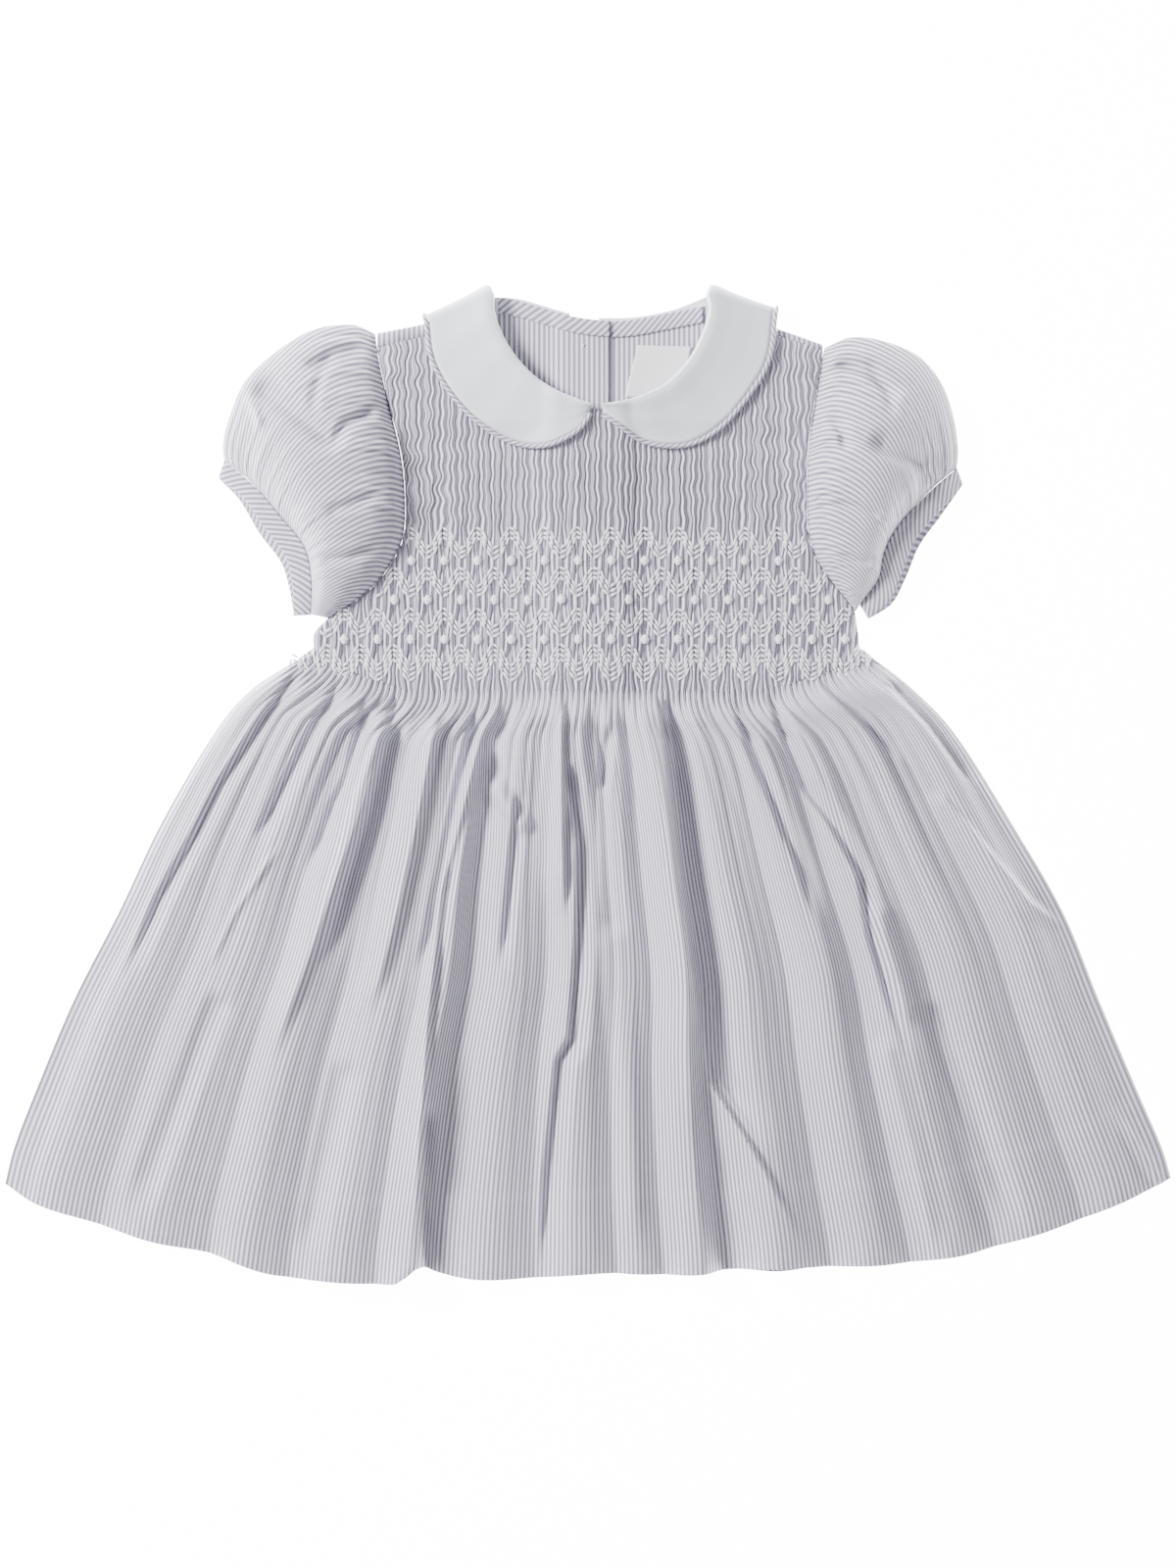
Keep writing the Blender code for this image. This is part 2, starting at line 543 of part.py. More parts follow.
def back_bodice(side):
    """A back half: flat rows up to the neck and shoulder, then the turn over the shoulder to the front."""
    wall = Wall("back_bodice_" + side, "stripe")
    inward = 1.0 if side == "left" else -1.0
    fold = SHOULDER_FOLD[side]
    neck_x = fold[-1][0]
    lap = LAP_COLUMNS[side]
    top = fold + [point for point in BACK_NECK if (point[0] - neck_x) * inward > 0.1]

    def edge_x(y):
        curve = ARMHOLE[side] if y > ARMHOLE[side][-1][1] else SIDE[side]
        inset = ARMHOLE_INSET if y > ARMHOLE[side][-1][1] else 0.0
        return lookup(curve, 1, 0, y) + inward * inset

    def columns(y):
        outer_x = edge_x(y)
        shoulder = [between(outer_x, neck_x, n / SHOULDER_COLUMNS) for n in range(SHOULDER_COLUMNS)]
        neck = [between(neck_x, lap[0], n / NECK_COLUMNS) for n in range(NECK_COLUMNS)]
        return shoulder + neck + lap

    def turn(x):
        """Radii of the turn over the shoulder, outer and inner, and its centre."""
        y = lookup(fold, 0, 1, x)
        low = back_floor(x, y, side)
        inner = max((front_floor(x, lookup(NECKLINE, 0, 1, x)) - WALL - low) / 2.0, SHOULDER_RADIUS)
        return WALL + inner, inner, y - WALL - inner, low + WALL + inner

    def top_y(x):
        if (neck_x - x) * inward >= -0.01:
            return turn(x)[2]
        return lookup(top, 0, 1, x)

    stacks = [[], []]
    for y in BACK_BODICE_ROWS:
        for stack, height in zip(stacks, (0.0, WALL)):
            stack.append(wall.row([(x, y, back_floor(x, y, side) + height) for x in columns(y)]))
    low_y = BACK_BODICE_ROWS[-1]
    for up in UPPER_BACK_ROWS:
        for stack, height in zip(stacks, (0.0, WALL)):
            points = []
            for x in columns(between(low_y, fold[0][1], up)):
                y = between(low_y, top_y(x), up)
                points.append((x, y, back_floor(x, y, side) + height))
            stack.append(wall.row(points))
    turned = [[stack[-1][:SHOULDER_COLUMNS + 1]] for stack in stacks]
    shoulder_x = columns(fold[0][1])[:SHOULDER_COLUMNS + 1]
    for angle in TURN_ANGLES:
        for which, stack in enumerate(turned):
            points = []
            for x in shoulder_x:
                shape = turn(x)
                points.append((x, shape[2] + shape[which] * math.cos(math.radians(angle)),
                               shape[3] + shape[which] * math.sin(math.radians(angle))))
            stack.append(wall.row(points))
    for which, stack in enumerate(turned):
        points = [(x, lookup(NECKLINE, 0, 1, x) + GAP, turn(x)[3] + turn(x)[which]) for x in shoulder_x]
        stack.append(wall.row(points))
    for stack in stacks + turned:
        wall.stack(stack)
    wall.strip(stacks[0][0], stacks[1][0])
    wall.side(stacks[0] + turned[0][1:], stacks[1] + turned[1][1:], 0)
    wall.side(stacks[0], stacks[1], -1)
    wall.side(turned[0], turned[1], -1)
    wall.strip(turned[0][-1], turned[1][-1])
    wall.strip(stacks[0][-1][SHOULDER_COLUMNS:], stacks[1][-1][SHOULDER_COLUMNS:])
    return wall


def coons(side, armhole, share, out):
    """A point of the sleeve's plan: share from shoulder to underarm, out from armhole to band."""
    seam = BAND_SEAM[side]
    top = SLEEVE_TOP[side]
    under = [armhole[-1], seam[-1]]
    corners = [armhole[0], armhole[-1], seam[0], seam[-1]]
    point = []
    for axis in range(2):
        across = between(along(armhole, share)[axis], along(seam, share)[axis], out)
        length = between(along(top, out)[axis], along(under, out)[axis], share)
        near = between(corners[0][axis], corners[1][axis], share)
        far = between(corners[2][axis], corners[3][axis], share)
        point.append(across + length - between(near, far, out))
    return tuple(point)


def sleeve_armhole(side):
    outward = -GAP / 2.0 if side == "left" else GAP / 2.0
    levels = [y for y, rise, phase in BODICE_ROWS[1:] if y > ARMHOLE[side][-1][1]]
    curve = [(lookup(ARMHOLE[side], 1, 0, y) + outward, y) for y in levels]
    end = ARMHOLE[side][-1]
    return [SLEEVE_TOP[side][0]] + curve + [(end[0] + 2.0 * outward, end[1])]


def crown_height(share, crown, edge_height):
    """Height of a sleeve's top at a share across it, between its two edges."""
    arch = math.sin(math.pi * share) ** CROWN_ROUNDNESS
    return edge_height + crown * PUFF * arch * (1.0 - CROWN_LEAN * share)


def sleeve(side):
    wall = Wall("sleeve_" + side, "stripe")
    armhole = sleeve_armhole(side)
    outer = []
    inner = []
    for out, crown, edge_height, gather in SLEEVE_ROWS[1:]:
        count = 2 * SLEEVE_GATHERS
        ring = []
        for n in range(count + 1):
            share = n / count
            raised = gather if n % 2 == 1 else 0.0
            height = crown_height(share, crown, edge_height) + raised
            ring.append((*coons(side, armhole, share, out), height))
        for n in range(SLEEVE_PLAIN, -1, -1):
            share = between(SLEEVE_EDGE, 1.0 - SLEEVE_EDGE, n / SLEEVE_PLAIN)
            ring.append((*coons(side, armhole, share, out), 0.0))
        outer.append(wall.row(ring, ring_places(count)))
        plain = []
        shares = [between(SLEEVE_WALL_EDGE, 1.0 - SLEEVE_WALL_EDGE, n / SLEEVE_PLAIN)
                  for n in range(SLEEVE_PLAIN + 1)]
        for share in shares:
            height = crown_height(share, crown, edge_height) - WALL
            plain.append((*coons(side, armhole, share, out), height))
        for share in reversed(shares):
            plain.append((*coons(side, armhole, share, out), WALL))
        inner.append(wall.row(plain, ring_places(SLEEVE_PLAIN)))
    wall.tube(outer, inner)
    return wall


def ring_places(count):
    """Places round a sleeve: `count` steps across its top, then SLEEVE_PLAIN steps back under it."""
    places = [n / count for n in range(count + 1)]
    places += [1.0 + RING_BREAK + n / SLEEVE_PLAIN for n in range(SLEEVE_PLAIN + 1)]
    return [place / (2.0 + 2.0 * RING_BREAK) for place in places]


def band(side):
    wall = Wall("band_" + side, "stripe")
    outer = []
    inner = []
    crown, edge_height = SLEEVE_ROWS[-1][1:3]
    for out in (0.0, 0.5, 1.0):
        rings = [[], []]
        for n in range(BAND_COLUMNS + 1):
            share = n / BAND_COLUMNS
            for which, inset in ((0, 0.0), (1, WALL)):
                kept = between(inset * BAND_EDGE_SHARE, 1.0 - inset * BAND_EDGE_SHARE, share)
                height = crown_height(kept, crown, edge_height)
                rings[which].append((*band_point(side, kept, out, 0.0), height - inset))
        for n in range(BAND_COLUMNS, -1, -1):
            share = n / BAND_COLUMNS
            for which, inset in ((0, SLEEVE_EDGE), (1, BAND_EDGE_SHARE)):
                kept = between(inset, 1.0 - inset, share)
                rings[which].append((*band_point(side, kept, out, BAND_PEEK), WALL * which))
        outer.append(wall.row(rings[0]))
        inner.append(wall.row(rings[1]))
    wall.tube(outer, inner)
    return wall


def band_point(side, share, out, peek):
    """A point of a band: share down its seam, out from the seam to the open edge, the back a little longer."""
    seam = along(BAND_SEAM[side], share)
    edge = along(BAND_EDGE[side], share)
    length = math.dist(seam, edge)
    reach = BAND_GAP + out * (length - BAND_GAP + peek * math.sin(math.pi * share))
    return tuple(between(a, b, reach / length) for a, b in zip(seam, edge))


def collar_point(side, place, row, which):
    """A point of a collar half: place 0 at the centre front, 1 at the shoulder, 2 at the centre back."""
    front_share = min(place, 1.0)
    back_share = max(place - 1.0, 0.0)
    name, reach, drop, back_reach = COLLAR_ROWS[row + 1]
    reach += COLLAR_WALL_SHARE[row] if which else 0.0

    def front(share):
        neck = along(COLLAR_NECK[side], share)
        edge = along(COLLAR_EDGE[side], share)
        x, y = (between(a, b, reach) for a, b in zip(neck, edge))
        rest = front_floor(x, y) + WALL + PLEAT_RISE + COLLAR_GAP + WALL
        return x, y, rest + drop - (WALL if which else 0.0)

    def back(share):
        neck = along(COLLAR_BACK_NECK[side], share)
        edge = along(COLLAR_BACK_EDGE[side], share)
        x, y = (between(a, b, back_reach) for a, b in zip(neck, edge))
        return x, y, WALL if which else 0.0

    if place <= 1.0:
        return front(place)
    turn_end = 1.0 + COLLAR_TURN
    if place >= turn_end:
        return back((place - turn_end) / (1.0 - COLLAR_TURN))
    over = front(1.0)
    under = back(0.0)
    angle = math.pi * (place - 1.0) / COLLAR_TURN
    radius = (over[2] - under[2]) / 2.0
    middle = (over[2] + under[2]) / 2.0
    drift = (1.0 - math.cos(angle)) / 2.0
    along_x = COLLAR_EDGE[side][-1][0] - COLLAR_NECK[side][-1][0]
    along_y = COLLAR_EDGE[side][-1][1] - COLLAR_NECK[side][-1][1]
    length = math.hypot(along_x, along_y)
    out_x = -abs(along_y) / length if side == "left" else abs(along_y) / length
    out_y = abs(along_x) / length
    return (between(over[0], under[0], drift) + out_x * radius * math.sin(angle),
            between(over[1], under[1], drift) + out_y * radius * math.sin(angle),
            middle + radius * math.cos(angle))


def collar_places():
    front = [n / COLLAR_COLUMNS for n in range(COLLAR_COLUMNS + 1)]
    turn = [1.0 + COLLAR_TURN * n / COLLAR_TURN_STEPS for n in range(1, COLLAR_TURN_STEPS)]
    back = [between(1.0 + COLLAR_TURN, 2.0, n / COLLAR_COLUMNS) for n in range(COLLAR_COLUMNS + 1)]
    return front + turn + back


def collar(side):
    wall = Wall("collar_" + side, "collar")
    stacks = [[], []]
    for row in range(len(COLLAR_ROWS) - 1):
        for which in (0, 1):
            points = [collar_point(side, place, row, which) for place in collar_places()]
            stacks[which].append(wall.row(points))
    wall.sheet(*stacks)
    return wall


def piping(side, materials, collection):
    """A corded edge, just outside the collar's outer edge all the way round."""
    curve = bpy.data.curves.new("piping_path_" + side, "CURVE")
    curve.dimensions = "3D"
    curve.bevel_depth = PIPING_RADIUS * MM
    curve.bevel_resolution = 1
    curve.use_fill_caps = True
    edge = []
    inside = []
    last_row = len(COLLAR_ROWS) - 2
    places = collar_places()
    for place in places:
        for found, row in ((edge, last_row), (inside, last_row - 1)):
            faces = [collar_point(side, place, row, which) for which in (0, 1)]
            found.append(mathutils.Vector([(a + b) / 2.0 for a, b in zip(*faces)]))
    spline = curve.splines.new("POLY")
    spline.points.add(len(places) - 1)
    for n, (place, target) in enumerate(zip(places, spline.points)):
        tangent = (edge[min(n + 1, len(edge) - 1)] - edge[max(n - 1, 0)]).normalized()
        out = edge[n] - inside[n]
        out = (out - out.dot(tangent) * tangent).normalized()
        under = smooth((place - 1.0) / COLLAR_TURN)
        thin = between(1.0, PIPING_PRESSED, under)
        lift = (PIPING_RADIUS - WALL / 2.0) * (1.0 - under) + (PIPING_RADIUS * thin - WALL / 2.0) * under
        centre = edge[n] + out * (PIPING_RADIUS * thin + GAP) + mathutils.Vector((0.0, 0.0, lift))
        target.co = (*(centre * MM), 1.0)
        target.radius = thin
    curve.materials.append(materials["stripe"])
    made = bpy.data.objects.new("piping_" + side, curve)
    collection.objects.link(made)


def neck_binding(side):
    """A bias strip on the inside of the back neck."""
    wall = Wall("neck_binding_" + side, "stripe")
    ends = BINDING_ENDS[side]
    stacks = [[], []]
    for down in (0.0, 0.5, 1.0):
        for stack, height in zip(stacks, (BINDING_WALL, 0.0)):
            points = []
            for n in range(BINDING_COLUMNS + 1):
                x = between(*ends, n / BINDING_COLUMNS)
                y = lookup(BACK_NECK, 0, 1, x) - BINDING_WIDTH * down
                points.append((x, y, back_floor(x, y, side) + WALL + GAP + height))
            stack.append(wall.row(points))
    wall.sheet(*stacks)
    return wall


def label():
    wall = Wall("label", "label")
    stacks = [[], []]
    for down in (0.0, 1.0):
        left = [between(a, b, down) for a, b in zip(LABEL[0], LABEL[3])]
        right = [between(a, b, down) for a, b in zip(LABEL[1], LABEL[2])]
        for stack, height in zip(stacks, (LABEL_WALL, 0.0)):
            points = []
            for n in range(LABEL_COLUMNS + 1):
                x, y = (between(a, b, n / LABEL_COLUMNS) for a, b in zip(left, right))
                points.append((x, y, back_floor(x, y, "right") + WALL + GAP + height))
            stack.append(wall.row(points))
    wall.sheet(*stacks)
    return wall


def button(name, y, materials, collection):
    bpy.ops.mesh.primitive_cylinder_add(vertices=BUTTON_SIDES, radius=BUTTON_RADIUS * MM, depth=BUTTON_THICK * MM,
                                        location=(BUTTON_X * MM, y * MM, BUTTON_THICK / 2.0 * MM))
    made = bpy.context.object
    made.name = name
    made.data.name = name
    made.data.materials.append(materials["button"])
    for owner in list(made.users_collection):
        owner.objects.unlink(made)
    collection.objects.link(made)
    rim = made.modifiers.new("rim", "BEVEL")
    rim.width = BUTTON_RIM * MM
    rim.segments = 1


def main():
    clear_scene()
    materials = {slot: material(slot, colour) for slot, colour in COLOURS.items()}
    collection = bpy.data.collections.new("smocked_dress")
    bpy.context.scene.collection.children.link(collection)
    front_panel().build(materials, collection)
    back_skirt().build(materials, collection)
    for side in ("left", "right"):
        for make in (back_bodice, sleeve, band, collar, neck_binding):
            make(side).build(materials, collection)
        piping(side, materials, collection)
    label().build(materials, collection)
    for name, y in BUTTONS:
        button(name, y, materials, collection)


main()
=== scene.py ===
import math

import bmesh
import bpy
import numpy as np
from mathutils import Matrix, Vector


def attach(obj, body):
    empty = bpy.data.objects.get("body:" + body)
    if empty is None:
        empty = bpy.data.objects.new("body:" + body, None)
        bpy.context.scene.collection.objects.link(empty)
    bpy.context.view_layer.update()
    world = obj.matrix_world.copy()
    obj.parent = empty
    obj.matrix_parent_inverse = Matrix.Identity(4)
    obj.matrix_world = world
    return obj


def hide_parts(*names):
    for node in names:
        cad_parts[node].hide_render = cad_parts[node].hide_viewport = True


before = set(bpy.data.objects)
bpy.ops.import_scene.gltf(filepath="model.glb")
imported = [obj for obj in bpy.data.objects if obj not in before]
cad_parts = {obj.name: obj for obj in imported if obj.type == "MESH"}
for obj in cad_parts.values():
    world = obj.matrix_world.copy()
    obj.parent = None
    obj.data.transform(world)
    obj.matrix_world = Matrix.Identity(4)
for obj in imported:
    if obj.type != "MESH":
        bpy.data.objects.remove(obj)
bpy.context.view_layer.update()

MM = 0.001

# The dress in millimetres: cloth, pleats and stitching
WALL = 1.0
GAP = 0.3
PLEAT_PITCH = 2.45
PLEAT_RISE = 1.7
PLEAT_FULL = 1.25         # how much taller pleats stand clear of the collar
PLEAT_TROUGH = 0.45
STRIPE = 2.2              # one light and one dark stripe
CLOTH_WIDTH = 585.0       # of the front, before it is pleated
BACK_WIDTH = 520.0        # of the back skirt
PLEATS = 105
WAVE = 6 * PLEAT_PITCH
CREASE_START = 9.0        # over which a crease deepens from its first point
GATHER_RISE = 2.6         # of the skirt over the pleats, just under the stitches
WAVE_PEAK = -4.3          # x of a peak of the first wave
CRIMP_PITCH = 9.5

# Trimmings, in millimetres
COLLAR_GAP = 0.6
PIPING_RADIUS = 1.05
HEM_DEPTH = 37.0
PUFF = 20.0
PLACKET_RISE = 1.5
LAP_LEFT = -9.0
LAP_RIGHT = 9.5
BUTTON_X = -2.0
BUTTONS = [("top", 193.0), ("middle", 148.0), ("bottom", 103.0)]

BAND_START = 0.1

# How finely the front is modelled
BODICE_STEPS = 8          # columns in a pleat
BODICE_ROWS = 116
SKIRT_STEPS = 6
SKIRT_ROWS = 136
INNER_ROWS = 4            # rows and columns of the skirt's outside for one of its inside
INNER_COLUMNS = 3

# Outlines as (x, y) in millimetres, from the shoulder down. "left" is the side at -X.
ARMHOLE = {
    "left": [(-93.0, 192.0), (-90.5, 179.5), (-87.5, 166.5), (-84.0, 153.5), (-81.5, 140.5), (-80.5, 127.5),
             (-80.5, 114.5), (-82.0, 106.0), (-86.0, 98.0), (-92.5, 89.0), (-103.0, 80.0), (-114.5, 73.0)],
    "right": [(103.5, 191.0), (102.0, 179.5), (99.5, 166.5), (97.5, 153.5), (96.5, 140.5), (96.3, 127.5),
              (96.5, 114.5), (98.0, 106.0), (102.0, 96.5), (107.5, 88.5), (113.0, 82.0), (117.5, 76.0)],
}
SIDE = {
    "left": [(-114.5, 73.0), (-120.5, 66.5), (-121.5, 58.0), (-129.9, 53.5), (-149.2, 40.6), (-165.1, 21.3),
             (-187.9, -17.4), (-206.4, -56.1), (-226.2, -94.8), (-242.5, -133.5), (-252.4, -159.3),
             (-256.7, -176.0)],
    "right": [(117.5, 76.0), (119.0, 66.0), (120.5, 58.0), (128.1, 53.5), (144.1, 40.6), (162.1, 21.3),
              (186.6, -17.4), (209.0, -56.1), (224.9, -94.8), (241.2, -133.5), (252.4, -159.3),
              (256.7, -173.5)],
}
HEM = [(-256.7, -176.0), (-243.0, -184.7), (-217.0, -193.0), (-191.5, -201.0), (-165.5, -206.5),
       (-139.5, -215.5), (-114.0, -218.3), (-88.0, -219.4), (-80.5, -216.5), (-74.0, -212.0), (-66.0, -215.0),
       (-50.0, -217.8), (-24.5, -217.2), (2.0, -215.0), (41.0, -215.4), (66.5, -213.3), (92.5, -212.4),
       (118.5, -211.8), (144.0, -210.0), (170.0, -205.7), (196.0, -198.3), (221.5, -189.5), (247.0, -178.5),
       (256.7, -173.5)]
NECKLINE = [(-93.0, 192.0), (-72.5, 196.5), (-44.5, 203.0), (-38.9, 195.8), (-32.6, 186.0), (-24.0, 177.2),
            (-14.7, 171.1), (-5.6, 167.3), (1.6, 164.6), (6.2, 164.6), (14.3, 166.0), (24.8, 169.1),
            (36.1, 175.4), (45.5, 185.5), (51.7, 197.4), (55.5, 205.0), (84.0, 197.0), (103.5, 190.6)]
BACK_NECK = [(-47.5, 209.5), (-40.5, 214.0), (-30.0, 212.3), (-16.0, 208.2), (-5.0, 205.2), (8.0, 203.8),
             (20.0, 204.2), (37.5, 207.5), (52.0, 210.2), (58.0, 208.5)]
SHOULDER_FOLD = {
    "left": [(-93.0, 198.6), (-72.5, 202.5), (-47.5, 209.5)],
    "right": [(103.5, 193.5), (84.0, 200.2), (58.0, 208.5)],
}
SLEEVE_TOP = {
    "left": [(-93.6, 198.0), (-104.0, 202.0), (-121.5, 199.5), (-138.5, 189.0), (-151.5, 176.0),
             (-158.5, 159.0), (-160.5, 149.5), (-160.0, 142.0)],
    "right": [(104.2, 192.0), (116.0, 196.5), (131.0, 194.5), (146.0, 187.5), (156.0, 175.0), (161.0, 160.0),
              (162.8, 147.0), (162.2, 139.0)],
}
BAND_SEAM = {
    "left": [(-160.0, 142.0), (-148.0, 132.5), (-134.5, 117.0), (-124.5, 104.0), (-121.5, 90.0),
             (-121.8, 74.5)],
    "right": [(162.2, 139.0), (150.5, 129.0), (136.5, 114.0), (130.0, 102.0), (127.5, 90.0), (119.5, 79.0)],
}
BAND_EDGE = {
    "left": [(-162.6, 134.5), (-152.0, 126.0), (-142.5, 113.0), (-133.0, 100.0), (-130.0, 88.0),
             (-129.5, 74.0)],
    "right": [(165.0, 131.5), (154.5, 120.0), (144.0, 107.5), (138.0, 93.0), (133.0, 81.0), (123.5, 72.5)],
}
COLLAR_NECK = {
    "left": [(1.6, 166.5), (-5.0, 169.0), (-14.0, 172.8), (-23.0, 178.8), (-31.0, 187.0), (-37.0, 196.5),
             (-40.5, 206.0), (-41.0, 214.5)],
    "right": [(6.2, 166.5), (14.0, 167.8), (24.0, 170.8), (35.0, 176.8), (44.0, 186.5), (50.0, 198.0),
              (52.8, 208.0), (51.8, 214.5)],
}
COLLAR_EDGE = {
    "left": [(0.6, 163.0), (-6.0, 155.3), (-19.0, 149.6), (-34.0, 151.6), (-48.5, 160.6), (-60.0, 173.0),
             (-67.5, 187.0), (-70.0, 203.5)],
    "right": [(6.6, 163.0), (13.0, 159.0), (26.0, 151.0), (43.0, 150.0), (57.5, 157.5), (70.5, 172.5),
              (78.5, 187.0), (81.2, 206.5)],
}
COLLAR_BACK_NECK = {
    "left": [(-41.0, 214.5), (-30.0, 213.6), (-16.0, 209.6), (-8.0, 207.4)],
    "right": [(51.8, 214.5), (37.5, 208.9), (20.0, 205.6), (4.5, 205.4)],
}
COLLAR_BACK_EDGE = {
    "left": [(-70.0, 203.5), (-66.0, 189.0), (-56.0, 177.5), (-40.0, 170.5), (-24.0, 170.0), (-13.0, 177.0),
             (-8.5, 190.0)],
    "right": [(81.2, 206.5), (77.0, 189.5), (65.0, 177.5), (48.0, 170.5), (28.0, 170.0), (12.0, 177.5),
              (5.0, 190.0)],
}
COLLAR_TURN = 0.12
LABEL = [(21.9, 193.1), (45.4, 192.4), (42.0, 169.0), (16.1, 170.1)]

# Skirt folds: where each runs across the skirt (0 at the left side, 1 at the right), its height in
# millimetres under the waist, half way down and at the hem, and how far each flank reaches, as a share.
FOLDS = [
    ("at", "waist_rise", "middle_rise", "hem_rise", "left_flank", "right_flank"),
    (0.045, 3.0, 5.0, 4.0, 0.040, 0.050),
    (0.130, 4.0, 6.0, 6.5, 0.055, 0.055),
    (0.205, 4.5, 7.5, 7.0, 0.035, 0.045),
    (0.290, 5.0, 8.5, 9.0, 0.050, 0.050),
    (0.350, 5.0, 9.0, 13.0, 0.045, 0.018),
    (0.418, 5.0, 7.0, 6.0, 0.040, 0.040),
    (0.492, 5.5, 10.0, 8.0, 0.040, 0.042),
    (0.545, 4.5, 6.0, 6.5, 0.030, 0.030),
    (0.598, 5.0, 11.0, 11.0, 0.040, 0.016),
    (0.665, 4.5, 7.5, 10.0, 0.040, 0.045),
    (0.745, 5.0, 9.0, 7.0, 0.042, 0.032),
    (0.815, 4.5, 8.0, 7.5, 0.040, 0.035),
    (0.885, 4.0, 6.0, 6.0, 0.040, 0.040),
    (0.955, 3.5, 6.0, 4.5, 0.035, 0.030),
]

# Creases, listed one by one: height of a ridge (a trough below zero), how far its flanks reach to the left and
# to the right, how soft its line is from 0 to 1, and the points it runs through.
SKIRT_CREASES = [
    ("height", "left", "right", "soft", "path"),
    (2.6, 16.0, 5.0, 0.4, [(-85.1, 32.0), (-100.6, -15.7), (-116.1, -58.3), (-125.6, -84.9), (-141.0, -124.9)]),
    (-3.4, 4.0, 9.0, 0.3, [(-83.8, 42.8), (-88.2, 17.0), (-94.6, -13.1), (-103.2, -38.9), (-111.8, -64.7),
                           (-118.2, -81.9)]),
    (2.4, 10.0, 5.0, 0.4, [(-65.4, 34.2), (-73.1, -9.7), (-81.3, -46.7), (-91.2, -84.9), (-100.6, -104.3)]),
    (-3.0, 4.0, 8.0, 0.6, [(-48.2, 34.0), (-55.9, 4.1), (-62.4, -30.3), (-68.8, -64.7), (-75.2, -86.2)]),
    (3.0, 12.0, 3.0, 0.1, [(-46.9, 20.4), (-64.1, -46.7), (-70.1, -104.3), (-73.5, -161.9), (-68.8, -198.0)]),
    (-5.0, 3.0, 6.0, 0.3, [(-70.1, -140.7), (-71.8, -180.8), (-71.0, -225.2)]),
    (2.6, 6.0, 7.0, 1.0, [(-44.9, 4.4), (-35.3, -9.7), (-26.1, -22.3)]),
    (-2.6, 3.0, 5.0, 0.3, [(-30.1, -3.4), (-32.7, -30.3), (-35.3, -56.1), (-37.8, -81.9)]),
    (2.8, 12.0, 2.2, 0.0, [(-11.6, 42.8), (-11.6, 8.4), (-11.2, -26.0), (-10.4, -60.0)]),
    (-4.0, 2.5, 9.0, 0.2, [(-9.5, 10.1), (-3.4, -26.0), (-3.4, -43.2), (-4.3, -69.0), (-7.3, -112.0),
                           (-12.9, -121.9), (-18.1, -172.2), (-20.2, -222.2)]),
    (-2.6, 4.0, 4.0, 0.5, [(9.5, 27.4), (7.7, 8.4), (5.6, -5.4)]),
    (3.4, 16.0, 2.0, 0.0, [(28.2, 46.8), (33.1, 17.0), (36.1, -8.8), (38.7, -30.3), (41.7, -51.8),
                           (44.3, -77.6), (48.2, -103.4), (52.5, -129.2), (73.1, -161.9), (95.9, -204.2)]),
    (-3.4, 2.0, 12.0, 0.3, [(33.2, 42.8), (38.1, 17.0), (41.1, -8.8), (43.7, -30.3), (46.7, -51.8),
                            (49.3, -77.6), (53.2, -103.4), (58.5, -129.2), (80.1, -161.9)]),
    (-2.8, 3.0, 8.0, 0.4, [(60.6, 46.8), (71.0, 17.0), (78.3, -1.1), (92.5, -34.6), (101.0, -62.0)]),
    (2.4, 5.0, 9.0, 0.2, [(124.7, -50.4), (134.2, -84.9), (141.9, -108.3)]),
    (-3.0, 3.0, 7.0, 0.3, [(76.7, 46.8), (86.0, 21.3), (94.6, -0.2), (107.5, -17.4), (119.5, -38.9),
                           (124.7, -69.0), (135.4, -103.4), (141.9, -124.9)]),
    (-1.8, 3.0, 5.0, 0.3, [(98.0, 49.1), (120.4, 27.7), (138.2, 9.5)]),
    (-2.4, 3.0, 7.0, 0.3, [(130.4, 46.8), (150.5, 25.6), (170.6, -1.9)]),
    (2.0, 7.0, 3.0, 0.2, [(150.9, -1.8), (172.0, -26.0), (193.5, -51.8), (211.8, -64.6)]),
    (-3.0, 3.0, 7.0, 0.2, [(-127.0, 50.1), (-144.1, 25.6), (-161.2, -0.2), (-172.0, -21.7), (-189.2, -51.8),
                           (-204.1, -87.9)]),
    (-2.4, 3.0, 7.0, 0.4, [(-107.6, 46.8), (-121.3, 23.4), (-133.3, -0.2), (-147.3, -27.7)]),
    (-2.4, 3.0, 7.0, 0.4, [(-97.0, 38.0), (-105.3, 4.1), (-111.8, -8.8), (-123.3, -40.6)]),
    (1.2, 3.0, 3.0, 0.0, [(-135.6, -27.3), (-154.8, -56.1), (-167.6, -82.6)]),
    (1.2, 4.0, 4.0, 0.2, [(232.5, -145.7), (246.0, -165.8), (255.7, -180.7)]),
    (-2.0, 9.0, 9.0, 1.0, [(-160.0, -90.0), (-180.0, -140.0), (-200.0, -192.0)]),
    (-2.2, 9.0, 9.0, 1.0, [(-105.0, -120.0), (-116.0, -170.0), (-124.0, -212.0)]),
    (1.8, 8.0, 10.0, 0.8, [(10.0, -60.0), (16.0, -130.0), (20.0, -214.0)]),
    (-2.2, 8.0, 8.0, 0.8, [(150.0, -95.0), (172.0, -150.0), (188.0, -196.0)]),
    (1.8, 6.0, 8.0, 0.7, [(128.0, -110.0), (142.0, -160.0), (152.0, -208.0)]),
]
